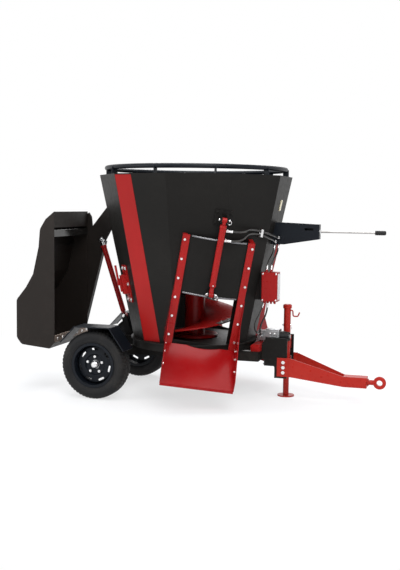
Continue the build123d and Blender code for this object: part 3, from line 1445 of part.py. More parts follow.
lift_ear_inner = lift_eye_width / 2 + seat_gap
with BuildPart() as lift_bracket:
    for side in (-1, 1):
        with BuildSketch(side_plane(lift_y + side * lift_ear_inner)):
            with BuildLine():
                Polyline((-axle_behind_tub - axle_square / 2, wheel_radius + axle_square / 2),
                         (lift_base_x - lift_eye / 2, lift_base_z),
                         (lift_base_x, lift_base_z + lift_eye / 2),
                         (lift_base_x + lift_eye / 2, lift_base_z),
                         (-axle_behind_tub + axle_square / 2, wheel_radius + axle_square / 2), close=True)
            make_face()
        extrude(amount=-side * ear_plate)
    with BuildSketch(side_plane(lift_y)):
        with Locations((lift_base_x, lift_base_z)):
            Circle(lift_pin / 2)
    extrude(amount=lift_ear_inner + ear_plate, both=True)
write(lift_bracket.part, "lift_bracket")

# Lift cylinder: barrel on the axle bracket, rod with an eye beside the arm
lift_base = Vector(tub_x + lift_base_x, lift_y, lift_base_z)
lift_head = Vector(tub_x + lift_pin_x, lift_y, lift_pin_z)
lift_line = (lift_head - lift_base).normalized()
lift_length = (lift_head - lift_base).length


def lift_section(along):
    """Plane square to the lift cylinder at a distance from its base pin."""
    return Plane(origin=lift_base + lift_line * along, x_dir=(0, 1, 0), z_dir=lift_line)


lift_barrel_top = lift_length - lift_barrel_short
with BuildPart() as lift_barrel:
    with BuildSketch(side_plane(lift_y)):
        with Locations((lift_base_x, lift_base_z)):
            Circle(lift_eye / 2)
    extrude(amount=lift_eye_width / 2, both=True)
    with BuildSketch(lift_section(0)):
        Circle(lift_eye_width / 2)
    extrude(amount=lift_eye)
    with BuildSketch(lift_section(lift_eye * 0.8)):
        Circle(lift_barrel_diameter / 2)
    extrude(amount=lift_barrel_top - lift_eye * 0.8)
    with BuildSketch(lift_section(lift_eye)):
        Circle(lift_barrel_bore / 2)
    extrude(amount=lift_barrel_top - lift_eye - piston_length / 2, mode=Mode.SUBTRACT)
    with BuildSketch(lift_section(lift_eye)):
        Circle(lift_rod_diameter / 2 + running_gap)
    extrude(amount=lift_length, mode=Mode.SUBTRACT)
    with BuildSketch(side_plane(lift_y)):
        with Locations((lift_base_x, lift_base_z)):
            Circle(lift_pin / 2 + running_gap)
    extrude(amount=lift_eye_width, both=True, mode=Mode.SUBTRACT)
write(lift_barrel.part, "lift_barrel")

rod_eye_half = bucket_half_width - arm_plate / 2 - lift_y - seat_gap
with BuildPart() as lift_rod:
    with BuildSketch(lift_section(lift_eye + seat_gap)):
        Circle(lift_barrel_bore / 2 - running_gap)
    extrude(amount=lift_piston)
    with BuildSketch(lift_section(lift_eye + seat_gap)):
        Circle(lift_rod_diameter / 2)
    extrude(amount=lift_length - lift_eye)
    with BuildSketch(side_plane(lift_y)):
        with Locations((lift_pin_x, lift_pin_z)):
            Circle(lift_eye / 2)
    extrude(amount=rod_eye_half, both=True)
write(lift_rod.part, "lift_rod")

# Counter knife: guide on the tub's rear right face and a blade with a handle
with BuildPart() as knife_guide:
    with BuildSketch(knife_plane(0)):
        Rectangle(counter_plate_width, counter_plate_height)
    extrude(amount=counter_plate)
    with BuildSketch(knife_plane(counter_plate)):
        Rectangle(counter_plate_width / 2, counter_blade_height + 4 * counter_plate)
    extrude(amount=counter_guide)
    add(knife_cut.part, mode=Mode.SUBTRACT)
    with BuildSketch(knife_plane(counter_plate)):
        with GridLocations(counter_plate_width * 0.74, counter_plate_height * 0.42, 2, 3):
            RegularPolygon(bolt_head / 3, 6, major_radius=False)
    extrude(amount=bolt_head_height / 2)
write(knife_guide.part, "knife_guide")

with BuildPart() as knife_blade:
    with BuildSketch(knife_plane(counter_outside)):
        Rectangle(counter_blade, counter_blade_height)
    extrude(amount=-counter_outside - counter_inside)
    with BuildSketch(Plane(origin=knife_origin + knife_normal * (counter_outside + counter_blade / 2),
                           x_dir=knife_across,
                           z_dir=knife_normal.cross(knife_across))):
        Circle(counter_blade)
    extrude(amount=counter_blade_height * 1.5)
write(knife_blade.part, "knife_blade")

# Hoses: two to each door cylinder, two from the beam to the box and two from the box to the pump
with BuildPart() as door_hoses:
    for route in door_hose_routes:
        add(hose(route, hose_diameter))
    mirror(about=Plane.XZ)
write(door_hoses.part, "door_hoses")

with BuildPart() as box_hoses:
    for route in control_hose_routes:
        add(hose(route, control_hose_diameter))
    for route, diameter in zip(pump_hose_routes, (pump_hose_diameter, return_hose_diameter)):
        add(hose(route, diameter))
write(box_hoses.part, "box_hoses")

# Clamps that hold the door hoses on the tub's wall
upper, lower = [(route[2] + route[3]) / 2 for route in door_hose_routes]
clamp_out = Vector(cos(radians(2 * half_face)), -sin(radians(2 * half_face)), 0)
clamp_run = (door_hose_routes[0][3] - door_hose_routes[0][2]).normalized()
clamp_normal = (clamp_out - clamp_run * clamp_out.dot(clamp_run)).normalized()
clamp_height = (upper - lower).length + hose_diameter + 6 * hose_wall
with BuildPart() as hose_clamps:
    clamp_plane = Plane(origin=(upper + lower) / 2, x_dir=clamp_run, z_dir=clamp_normal)
    with BuildSketch(clamp_plane.offset(hose_diameter / 2 + 2 * hose_wall)):
        Rectangle(clamp_width, clamp_height)
    extrude(amount=-hose_diameter - 3 * hose_standoff)
    with BuildSketch(clamp_plane):
        Rectangle(2 * clamp_width, clamp_height - 4 * hose_wall)
    extrude(amount=hose_diameter / 2 + hose_wall, both=True, mode=Mode.SUBTRACT)
    add(tub_block.part, mode=Mode.SUBTRACT)
    mirror(about=Plane.XZ)
write(hose_clamps.part, "hose_clamps")
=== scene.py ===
"""Looks of a trailed vertical feed mixer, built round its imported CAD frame."""
from math import cos, pi, radians, sin, sqrt, tan

import bmesh
import bpy
from bpy.props import FloatProperty, FloatVectorProperty, IntProperty, PointerProperty
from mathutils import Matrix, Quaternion, Vector


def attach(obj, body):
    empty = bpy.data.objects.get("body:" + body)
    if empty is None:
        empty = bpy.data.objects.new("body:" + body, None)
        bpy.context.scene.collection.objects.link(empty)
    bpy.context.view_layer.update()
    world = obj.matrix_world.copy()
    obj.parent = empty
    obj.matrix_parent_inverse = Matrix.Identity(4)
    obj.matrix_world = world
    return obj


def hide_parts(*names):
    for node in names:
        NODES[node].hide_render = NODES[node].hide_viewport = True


bl_info = {
    "name": "Feed mixer looks",
    "version": (1, 0, 0),
    "blender": (4, 5, 0),
    "location": "View3D > Sidebar > Mixer",
    "description": "Paints and details a trailed vertical feed mixer on its CAD frame",
    "category": "Object",
}

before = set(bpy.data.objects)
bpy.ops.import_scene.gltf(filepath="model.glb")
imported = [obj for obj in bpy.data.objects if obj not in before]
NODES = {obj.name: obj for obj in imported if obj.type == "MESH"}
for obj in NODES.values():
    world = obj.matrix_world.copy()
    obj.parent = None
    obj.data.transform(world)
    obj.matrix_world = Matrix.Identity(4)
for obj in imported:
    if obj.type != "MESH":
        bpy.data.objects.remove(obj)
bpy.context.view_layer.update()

FRONT = Vector((1, 0, 0))
LEFT = Vector((0, 1, 0))
UP = Vector((0, 0, 1))
HANDS = (-1, 1)

# The tub and its rail, as in the CAD model, in metres and degrees
TUB_AXIS = -0.060
FLOOR_TOP = 0.512
RIM_TOP = 1.950
BASE_APOTHEM = 0.525
TOP_APOTHEM = 0.820
HALF_FACE = radians(18)
TUB_LEAN = (TOP_APOTHEM - BASE_APOTHEM) / (RIM_TOP - FLOOR_TOP)
STRIPE_FACE = -108
REFLECTOR_HEIGHT = 1.70
REFLECTOR_SIZE = (0.040, 0.095, 0.008)
POST_COUNT = 10
POST_TURN = -8
POST_FOOT = (0.778, 0.812)

# Wheels and fenders
AXLE_X = -0.790
WHEEL_RADIUS = 0.298
HALF_TRACK = 0.550
FENDER_EDGE = 0.656
FENDER_CROWN = ((-0.295, 0.4875), (-0.160, 0.630), (0.160, 0.630), (0.295, 0.440))

# Drive and jack
PTO_HEIGHT = 0.550
PUMP_BACK = 0.532
CASE_BACK = 0.612
CASE_FRONT = 0.730
CASE_MIDDLE = (CASE_BACK + CASE_FRONT) / 2
COVER_SIDE = 0.062
COVER_JOINT = 0.548
JACK = Vector((0.772, 0.095, 0.0))

# Auger
KNIFE_COUNT = 5
FLIGHT_FOOT = 0.542
FLIGHT_RISE = 0.8
FLIGHT_RADIUS = 0.470
FLIGHT_TAPER = 0.295
FLIGHT_START = -150
FLIGHT_SWEEP = 720

# The right door, its cylinder and its chute; those on the left mirror them
DOOR_FOOT = Vector((0.15963, -0.54359, 0.512))
DOOR_SIDE = Vector((0.90766, 0.39695, -0.13632))
DOOR_SLIDE = Vector((0.20376, -0.13281, 0.96997))
DOOR_OUT = Vector((0.36693, -0.90818, -0.20143))
DOOR_ENDS = (0.438, 0.922)
DOOR_BOW = 0.8
DOOR_HALF_BOW = 16.4
ROD_RISE = 0.050
ROD_PIN = 0.470
BARREL_PIN = 1.106
BARREL_PORTS = (1.020, 0.940)
CHUTE_BACK = -0.0268
CHUTE_REACH = 0.4068
CHUTE_FALL = 0.200
CHUTE_SKEW = 0.030

# Control box, beam and lever
BOX_X = 0.678
BOX_Y = -0.200
BOX_Z = 1.005
BOX_SIDE = -0.260
BOX_FRONT = 0.748
BOX_FOOT = 0.881
LID_THICK = 0.004
PLATE_THICK = 0.003
BEAM_TIP = 1.060
LEVER_HEIGHT = 1.476

# Counter knife
GUIDE_PLACE = Vector((-0.5657, -0.3674, 1.0))
GUIDE_OUT = Vector((-0.7925, -0.5758, -0.2010))
GUIDE_ACROSS = Vector((0.5878, -0.8090, 0.0))

# Loading bucket and its lift
LIP_FACE = -1.280
LIP_HEIGHT = 0.466
LIP_THICK = 0.006
ARM_OUTSIDE = 0.386
ARM_PIVOT = Vector((-0.900, 0.378, 1.800))
LIFT_FOOT = Vector((-0.878, 0.345, 0.620))
LIFT_HEAD = Vector((-1.120, 0.345, 1.350))

# Hoses: their diameter, length and control points, as in the CAD model
DOOR_HOSE = 0.018
DOOR_HOSE_ROUTES = (
    ("upper", 0.7591, [
        (0.4253, -0.7072, 1.4854), (0.5378, -0.6580, 1.4685), (0.5498, -0.4431, 1.5054),
        (0.6898, -0.2436, 1.4500), (0.7154, -0.0580, 1.4180)]),
    ("lower", 0.7579, [
        (0.4090, -0.6966, 1.4078), (0.5215, -0.6474, 1.3909), (0.5456, -0.4400, 1.4798),
        (0.6832, -0.2415, 1.4180), (0.6854, -0.0580, 1.3850)]),
)
BOX_HOSE_ROUTES = (
    ("control_hose_rear", 0.014, 0.2714, [
        (0.6684, -0.0320, 1.3530), (0.6650, -0.0485, 1.2847), (0.6408, -0.1655, 1.2163),
        (0.6374, -0.1820, 1.1480)]),
    ("control_hose_front", 0.014, 0.2710, [
        (0.7054, -0.0320, 1.3530), (0.7022, -0.0485, 1.2847), (0.6798, -0.1655, 1.2163),
        (0.6766, -0.1820, 1.1480)]),
    ("pump_hose", 0.015, 0.3937, [
        (0.6550, -0.2000, 0.8620), (0.6520, -0.2050, 0.7746), (0.5900, -0.1850, 0.6654),
        (0.5760, -0.1400, 0.5703), (0.5720, -0.0620, 0.5500)]),
    ("return_hose", 0.010, 0.3964, [
        (0.6250, -0.2220, 0.8620), (0.6000, -0.2320, 0.7809), (0.5460, -0.2220, 0.6904),
        (0.5320, -0.1500, 0.5999), (0.5460, -0.0620, 0.5660)]),
)

# Outlines: a ferrule's as distance along and share of the hose's radius, a tyre's as radius and distance
# across, and a valve's as distance along and radius
FERRULE = ((0.0, 1.30), (0.006, 1.30), (0.008, 1.18), (0.012, 1.18), (0.014, 1.34), (0.024, 1.34),
           (0.026, 1.20), (0.030, 1.20), (0.032, 1.30), (0.038, 1.28), (0.040, 1.05))
TYRE_WALL = ((0.1790, 0.0755), (0.1965, 0.0760), (0.2010, 0.0800), (0.2080, 0.0850), (0.2100, 0.0838),
             (0.2160, 0.0872), (0.2200, 0.0892), (0.2230, 0.0885), (0.2300, 0.0905), (0.2420, 0.0922),
             (0.2520, 0.0922), (0.2560, 0.0908), (0.2640, 0.0900), (0.2730, 0.0860), (0.2800, 0.0805),
             (0.2870, 0.0735), (0.2930, 0.0650), (0.2958, 0.0590))
TYRE_TREAD = ((0.2970, 0.0520), (0.2972, 0.0400), (0.2905, 0.0395), (0.2905, 0.0325), (0.2974, 0.0320),
              (0.2978, 0.0150), (0.2910, 0.0145), (0.2910, 0.0060), (0.2980, 0.0055))
VALVE = ((0.0, 0.0065), (0.012, 0.0060), (0.014, 0.0042), (0.034, 0.0040), (0.035, 0.0050), (0.044, 0.0048),
         (0.045, 0.0030))

# Stage and shared colours
CAST_METAL = (0.40, 0.41, 0.42)
CAMERA_TARGET = Vector((0.0, -0.05, 0.98))
LAMP_TARGET = Vector((0.0, 0.0, 0.9))
# Name, place, size and power of each lamp
LAMPS = (("key", (3.5, -6.5, 6.0), 4.0, 420), ("fill", (-6.0, -5.0, 3.5), 4.0, 200),
         ("rim", (-1.0, 6.0, 5.5), 4.0, 300), ("top", (0.0, -0.5, 7.5), 5.0, 260))
SKY_LIGHT = (0.52, 0.56, 0.62)
BACKDROP = (1, 1, 1)


def door_point(across, along, rise):
    """A point given in the right door's own directions."""
    return DOOR_FOOT + DOOR_SIDE * across + DOOR_SLIDE * along + DOOR_OUT * rise


def tub_apothem(z):
    """Distance of the tub's flats from its axis at a height."""
    return BASE_APOTHEM + (z - FLOOR_TOP) * TUB_LEAN


def outward(turn):
    """The level direction at an angle from the front."""
    return Vector((cos(turn), sin(turn), 0.0))


def sideways(turn):
    """The level direction square to an angle from the front."""
    return Vector((-sin(turn), cos(turn), 0.0))


def tub_face(angle, across, z):
    """A point on the flat of the tub at an angle, across from its middle line."""
    turn = radians(angle)
    return Vector((TUB_AXIS, 0.0, z)) + outward(turn) * tub_apothem(z) + sideways(turn) * across


def tub_axes(angle):
    """Across, up and out of the flat of the tub at an angle."""
    turn = radians(angle)
    up = (UP + outward(turn) * TUB_LEAN).normalized()
    across = sideways(turn)
    return across, up, across.cross(up)


class Wire:
    """A shader socket that can stand in a Python sum or product."""

    def __init__(self, graph, socket):
        self.graph = graph
        self.socket = socket

    def _math(self, operation, first, second):
        return self.graph.node("ShaderNodeMath", {"operation": operation}, {0: first, 1: second})

    def __add__(self, other):
        return self._math("ADD", self, other)

    def __radd__(self, other):
        return self._math("ADD", other, self)

    def __mul__(self, other):
        return self._math("MULTIPLY", self, other)

    def __rmul__(self, other):
        return self._math("MULTIPLY", other, self)


class Graph:
    """A node tree under construction."""

    def __init__(self, tree):
        self.tree = tree

    def node(self, kind, settings=None, inputs=None, output=0):
        """Add a node with its settings and inputs, and return one of its outputs."""
        made = self.tree.nodes.new(kind)
        for key, value in (settings or {}).items():
            setattr(made, key, value)
        for key, value in (inputs or {}).items():
            if isinstance(value, Wire):
                self.tree.links.new(value.socket, made.inputs[key])
            else:
                made.inputs[key].default_value = value
        return Wire(self, made.outputs[output])

    def link(self, wire, node, socket):
        """Lead a wire to a socket of a node that the tree came with."""
        self.tree.links.new(wire.socket, self.tree.nodes[node].inputs[socket])

    def mix(self, factor, first, second):
        """Mix two colours."""
        ends = [value if isinstance(value, Wire) else (*value, 1.0) for value in (first, second)]
        return self.node("ShaderNodeMix", {"data_type": "RGBA"}, {0: factor, 6: ends[0], 7: ends[1]}, output=2)

    def backdrop_rays(self):
        """1 for the rays that show the white backdrop."""
        seen = 0.0
        for kind in ("Is Camera Ray", "Is Glossy Ray", "Is Transmission Ray"):
            ray = self.node("ShaderNodeLightPath", output=kind)
            seen = self.node("ShaderNodeMath", {"operation": "MAXIMUM"}, {0: seen, 1: ray})
        return seen


class Finish(Graph):
    """A material under construction: its surface shader and short ways to add nodes."""

    def __init__(self, name, **constants):
        self.material = bpy.data.materials.new(name)
        self.material.use_nodes = True
        super().__init__(self.material.node_tree)
        self.surface = self.tree.nodes["Principled BSDF"]
        for socket, value in constants.items():
            self.surface.inputs[self.label(socket)].default_value = value

    @staticmethod
    def label(socket):
        """A socket's label from its name in Python."""
        return socket.replace("_", " ").title().replace("Ior", "IOR")

    def place(self):
        """Object coordinates, which are the shared frame's."""
        return self.node("ShaderNodeTexCoord", output="Object")

    def height(self):
        """Height above the ground, in metres."""
        return self.node("ShaderNodeSeparateXYZ", inputs={0: self.place()}, output="Z")

    def noise(self, scale, detail, stretch=(1.0, 1.0, 1.0)):
        """Clouds of a scale, which the stretch squeezes along the axes."""
        where = self.node("ShaderNodeMapping", inputs={"Vector": self.place(), "Scale": stretch})
        inputs = {"Vector": where, "Scale": scale, "Detail": detail, "Roughness": 0.55}
        return self.node("ShaderNodeTexNoise", inputs=inputs)

    def span(self, value, low, high, start=0.0, end=1.0):
        """Carry a value's range over to another, smoothly and without leaving it."""
        return self.node("ShaderNodeMapRange", {"interpolation_type": "SMOOTHSTEP"},
                         {"Value": value, "From Min": low, "From Max": high, "To Min": start, "To Max": end})

    def polish(self, grain, smooth, rough):
        """A roughness that follows a grain."""
        return self.span(grain, 0.3, 0.7, smooth, rough)

    def stained(self, colour):
        """A bare metal's colour with darker patches."""
        return self.mix(self.span(self.noise(9.0, 4.0), 0.45, 0.75), colour, tint(colour, 0.72))

    def rounded(self, radius):
        """The normal over edges that are rounded by a small radius."""
        return self.node("ShaderNodeBevel", {"samples": 4}, {"Radius": radius})

    def bump(self, height, strength, distance, edge):
        """A bumped normal, over rounded edges where they have a radius."""
        inputs = {"Height": height, "Strength": strength, "Distance": distance}
        if edge:
            inputs["Normal"] = self.rounded(edge)
        return self.node("ShaderNodeBump", inputs=inputs)

    def worn_edges(self, radius):
        """A mask that is 1 along sharp edges, where the rounded normal leaves the true one."""
        true_normal = self.node("ShaderNodeNewGeometry", output="True Normal")
        same = self.node("ShaderNodeVectorMath", {"operation": "DOT_PRODUCT"},
                         {0: self.rounded(radius), 1: true_normal}, output="Value")
        return self.span(same, 0.98, 0.80)

    def feed(self, **sockets):
        """Link what varies over the surface to the shader and hand over the material."""
        for socket, value in sockets.items():
            self.tree.links.new(value.socket, self.surface.inputs[self.label(socket)])
        return self.material


FINISHES = {}


def colours():
    """The colours of the panel."""
    return bpy.context.scene.mixer_colours


def sizes():
    """The sizes of the panel."""
    return bpy.context.scene.mixer_sizes


def tint(colour, share, lift=0.0):
    """A colour made darker or brighter."""
    return [min(1.0, channel * share + lift) for channel in colour]


def paint(name, colour, roughness, gloss, dust_share=0.3, edge=0.0022):
    """Sprayed enamel on wavy sheet, with road dust low down and rubbed edges, unless it is a thin film."""
    finish = Finish(name, specular_ior_level=gloss)
    cloud = finish.noise(1.7, 4.0)
    fine = finish.noise(30.0, 3.0)
    ripple = finish.noise(7.0, 1.0)
    low = finish.span(finish.height(), 0.60, 0.05)
    dusty = finish.span(cloud * 0.55 + fine * 0.45, 0.47, 0.72) * (low * 0.85 + 0.05) * dust_share
    shade = finish.mix(finish.span(cloud, 0.35, 0.70), tint(colour, 0.93), tint(colour, 1.07))
    worn = finish.mix(dusty, shade, colours().dust)
    if edge:
        rubbed = finish.worn_edges(edge) * finish.span(fine, 0.46, 0.62) * 0.2
        worn = finish.mix(rubbed, worn, tint(colour, 1.5, 0.03))
    return finish.feed(
        base_color=worn,
        roughness=finish.polish(fine, roughness - 0.03, roughness + 0.04) + dusty * 0.35,
        normal=finish.bump(ripple, 0.06, 0.004, edge))


def bare_metal(name, colour, roughness, grain, stretch=(1.0, 1.0, 1.0)):
    """Plated, polished or cast metal with a grain and light staining."""
    finish = Finish(name, metallic=1.0)
    brushed = finish.noise(grain, 3.0, stretch)
    return finish.feed(
        base_color=finish.stained(colour),
        roughness=finish.polish(brushed, roughness - 0.06, roughness + 0.10),
        normal=finish.bump(brushed, 0.10, 0.0004, 0.0012))


def capped_case(name, colour, cover, joint):
    """A painted housing with a bare cast cover above a joint at a height."""
    finish = Finish(name, specular_ior_level=0.2)
    bare = finish.span(finish.height(), joint - 0.001, joint + 0.001)
    grain = finish.noise(220.0, 3.0)
    return finish.feed(
        base_color=finish.mix(bare, colour, finish.stained(cover)),
        metallic=bare,
        roughness=finish.polish(grain, 0.36, 0.50),
        normal=finish.bump(grain, 0.10, 0.0004, 0.0012))


def soft_rubber(name, colour, roughness, scale, gloss):
    """Moulded rubber with a fine grain and dust that settles in its hollows."""
    finish = Finish(name, specular_ior_level=gloss)
    fine = finish.noise(scale, 4.0)
    dusty = finish.span(finish.noise(6.0, 4.0) * 0.5 + fine * 0.5, 0.46, 0.70) * 0.10
    return finish.feed(
        base_color=finish.mix(dusty, colour, colours().dust),
        roughness=finish.polish(fine, roughness - 0.06, roughness + 0.08),
        normal=finish.bump(fine, 0.12, 0.0005, 0.0015))


def make_finishes():
    """Every finish on the machine, from the colours of the panel."""
    choice = colours()
    FINISHES.update(
        black=paint("satin_black_paint", choice.black, 0.42, 0.08, 0.2),
        # Black paint tinted blue: a painted reflection of the sky on the rims, fenders, rail and beam
        blue_black=paint("blue_black_paint", choice.blue_black, 0.38, 0.16, 0.06),
        gloss_black=paint("gloss_black_paint", choice.black, 0.12, 0.5, 0.1),
        warm_black=paint("warm_black_paint", choice.warm_black, 0.44, 0.14),
        red=paint("gloss_red_paint", choice.red, 0.30, 0.18, 0.05),
        stripe_red=paint("stripe_red_film", choice.red, 0.34, 0.18, 0.02, edge=0.0),
        # Painted sunlight: a lighter copy of the red for the drawbar and jack, as if lit by the sun
        bright_red=paint("bright_red_paint", choice.bright_red, 0.30, 0.18, 0.05),
        chute_red=paint("chute_red_paint", choice.chute_red, 0.20, 0.16, 0.05),
        pale=paint("pale_grey_paint", (0.60, 0.60, 0.59), 0.32, 0.3, 0.2),
        cream=paint("cream_reflector", (0.70, 0.62, 0.42), 0.12, 0.5, 0.2),
        zinc=bare_metal("bright_zinc", (0.82, 0.82, 0.82), 0.24, 60.0),
        chrome=bare_metal("hard_chrome", (0.84, 0.85, 0.86), 0.10, 40.0, (1.0, 1.0, 6.0)),
        aluminium=bare_metal("cast_aluminium", CAST_METAL, 0.40, 220.0),
        gear_case=capped_case("black_case_cast_cover", choice.black, CAST_METAL, COVER_JOINT),
        dark_metal=bare_metal("polished_dark_metal", (0.22, 0.22, 0.23), 0.25, 60.0),
        steel=bare_metal("machined_steel", (0.44, 0.43, 0.42), 0.34, 90.0),
        wear_steel=bare_metal("worn_lip_steel", (0.30, 0.23, 0.19), 0.42, 50.0, (1.0, 6.0, 1.0)),
        tyre=soft_rubber("tyre_rubber", (0.008, 0.008, 0.0085), 0.62, 120.0, 0.2),
        hose=soft_rubber("hose_rubber", (0.018, 0.017, 0.016), 0.22, 180.0, 0.5),
        plastic=soft_rubber("black_plastic", (0.010, 0.010, 0.011), 0.45, 240.0, 0.2),
    )


def dress(names, finish):
    """Give CAD nodes a finish."""
    for name in names.split():
        NODES[name].data.materials.clear()
        NODES[name].data.materials.append(FINISHES[finish])


def settle(obj, body, finish):
    """Finish a new piece and let it ride on a body."""
    obj.data.materials.append(FINISHES[finish])
    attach(obj, body)
    return obj


def mesh_piece(name, mesh, smooth_angle=35.0):
    """Link a bmesh as an object, shaded smooth below an angle."""
    data = bpy.data.meshes.new(name)
    bmesh.ops.recalc_face_normals(mesh, faces=mesh.faces)
    mesh.to_mesh(data)
    mesh.free()
    obj = bpy.data.objects.new(name, data)
    bpy.context.scene.collection.objects.link(obj)
    data.shade_smooth()
    data.set_sharp_from_angle(angle=radians(smooth_angle))
    return obj


def single(name, build, finish, body="machine"):
    """Make one piece on a body."""
    mesh = bmesh.new()
    build(mesh)
    settle(mesh_piece(name, mesh), body, finish)


def pair(name, build, finish, body=None):
    """Make a right-hand piece and its mirror image on the left, on a body of each hand or on the machine."""
    def flipped(mesh):
        build(mesh)
        bmesh.ops.scale(mesh, vec=(1, -1, 1), verts=mesh.verts)

    for hand, make in (("right", build), ("left", flipped)):
        single(f"{name}_{hand}", make, finish, f"{body}_{hand}" if body else "machine")


def skin(mesh, rings, closed=False):
    """Join rings of points into a surface, capped at both ends or closed on itself."""
    rows = [[mesh.verts.new(point) for point in ring] for ring in rings]
    for lower, upper in list(zip(rows, rows[1:])) + ([(rows[-1], rows[0])] if closed else []):
        for k in range(len(lower)):
            mesh.faces.new((lower[k - 1], lower[k], upper[k], upper[k - 1]))
    if not closed:
        mesh.faces.new(rows[0])
        mesh.faces.new(rows[-1])


def circle(centre, side, other, radius, steps):
    """Points round a centre in the plane of two directions."""
    turns = [2 * pi * k / steps for k in range(steps)]
    return [centre + (side * cos(turn) + other * sin(turn)) * radius for turn in turns]


def lathe(mesh, origin, axis, outline, steps=32, closed=False):
    """Turn an outline of (distance along, radius) pairs round an axis; a closed outline makes a ring."""
    origin, axis = Vector(origin), Vector(axis).normalized()
    side = axis.orthogonal().normalized()
    other = axis.cross(side)
    skin(mesh, [circle(origin + axis * along, side, other, radius, steps) for along, radius in outline], closed)


def slab(mesh, origin, axes, size, chamfer):
    """Add a plate with chamfered upper edges, standing on its origin's plane."""
    x_dir, y_dir, z_dir = axes
    rings = []
    for inset, rise in ((0.0, 0.0), (0.0, size[2] - chamfer), (chamfer, size[2])):
        half_x, half_y = size[0] / 2 - inset, size[1] / 2 - inset
        rings.append([Vector(origin) + x_dir * (half_x * sx) + y_dir * (half_y * sy) + z_dir * rise
                      for sx, sy in ((-1, -1), (1, -1), (1, 1), (-1, 1))])
    skin(mesh, rings)


def tube(mesh, points, radius, steps=10, closed=False):
    """Sweep a round wire along points; the radius is one number or one for each point."""
    points = [Vector(point) for point in points]
    count = len(points)
    side = None
    rings = []
    for k, point in enumerate(points):
        before = points[k - 1] if k or closed else point
        after = points[(k + 1) % count] if k < count - 1 or closed else point
        run = (after - before).normalized()
        side = run.orthogonal() if side is None else side - run * side.dot(run)
        side.normalize()
        reach = radius if isinstance(radius, float) else radius[k]
        rings.append(circle(point, side, run.cross(side), reach, steps))
    skin(mesh, rings, closed)


def wire_ring(mesh, centre, normal, radius, wire, gap=0.0):
    """A ring of round wire, open by a gap in degrees."""
    centre, normal = Vector(centre), Vector(normal).normalized()
    side = normal.orthogonal().normalized()
    other = normal.cross(side)
    steps = 28
    sweep = 2 * pi - radians(gap)
    turns = [radians(gap) / 2 + sweep * k / (steps - 1 if gap else steps) for k in range(steps)]
    tube(mesh, [centre + (side * cos(turn) + other * sin(turn)) * radius for turn in turns], wire, 8, not gap)


def weld_bead(mesh, points, radius):
    """A weld along points, rippled as the torch leaves it."""
    run = []
    for start, end in zip(points, points[1:]):
        steps = max(2, int((end - start).length / 0.006))
        run += [start.lerp(end, k / steps) for k in range(steps)]
    run.append(points[-1])
    tube(mesh, run, [radius * (1.0 + 0.16 * sin(2.4 * k)) for k in range(len(run))], 8)


def bolt(mesh, place, axis, across, height):
    """A hexagon head on its washer."""
    washer = across * 0.13
    corner = across / sqrt(3)
    lathe(mesh, place, axis, [(0.0, across * 0.80), (washer * 0.7, across * 0.80), (washer, across * 0.74)], 24)
    lathe(mesh, Vector(place) + axis.normalized() * washer, axis,
          [(0.0, corner), (height * 0.8, corner), (height, corner * 0.80)], 6)


def pin_end(mesh, place, axis, radius, length):
    """The chamfered end of a pin."""
    lathe(mesh, place, axis, [(0.0, radius), (length * 0.7, radius), (length, radius * 0.75)], 24)


def colour_choice(name, description, default):
    """A colour on the panel."""
    return FloatVectorProperty(name=name, description=description, default=default, subtype="COLOR",
                               min=0, max=1)


def size_choice(name, description, default, **kind):
    """A length or an angle on the panel."""
    return FloatProperty(name=name, description=description, default=default, **kind)


class MixerColours(bpy.types.PropertyGroup):
    """Colours of the machine."""
    black: colour_choice("Black paint", "Tub, chassis and doors", (0.0115, 0.0106, 0.0096))
    # Painted sky reflection: black tinted blue for the rims, fenders, rail and beam
    blue_black: colour_choice("Wheel paint", "Rims, fenders, rail and beam", (0.0050, 0.0068, 0.0100))
    warm_black: colour_choice("Bucket paint", "Loading bucket", (0.0160, 0.0125, 0.0105))
    red: colour_choice("Red paint", "Rails, auger and control box", (0.30, 0.0075, 0.0065))
    # Painted sunlight: the red made lighter for the drawbar and jack, as if lit by the sun
    bright_red: colour_choice("Front red", "Drawbar and jack", (0.36, 0.0150, 0.0080))
    chute_red: colour_choice("Chute red", "Trays under the doors", (0.28, 0.0030, 0.0042))
    dust: colour_choice("Dust", "Road dust on the paint", (0.20, 0.17, 0.13))
    floor: colour_choice("Floor", "Studio floor", (0.90, 0.90, 0.90))


class MixerSizes(bpy.types.PropertyGroup):
    """Sizes of the details and the camera."""
    stripe_width: size_choice("Stripe", "Width of the painted stripe", 0.170, unit="LENGTH")
    tread_blocks: IntProperty(name="Tread blocks", description="Blocks round a tyre", default=56, min=12)
    camera_turn: size_choice("Camera turn", "From square-on to the right side towards the front",
                             radians(16.5), subtype="ANGLE")
    camera_distance: size_choice("Camera distance", "From the middle of the machine", 7.9, unit="LENGTH")
    camera_height: size_choice("Camera height", "Above the floor", 1.69, unit="LENGTH")
    camera_roll: size_choice("Camera roll", "Turn about the line of sight", radians(0.7), subtype="ANGLE")
    camera_lens: size_choice("Lens", "Focal length in millimetres", 55.5)


class MIXER_OT_finishes(bpy.types.Operator):
    """Make every paint, metal and rubber"""
    bl_idname = "mixer.finishes"
    bl_label = "Finishes"

    def execute(self, context):
        make_finishes()
        return {"FINISHED"}


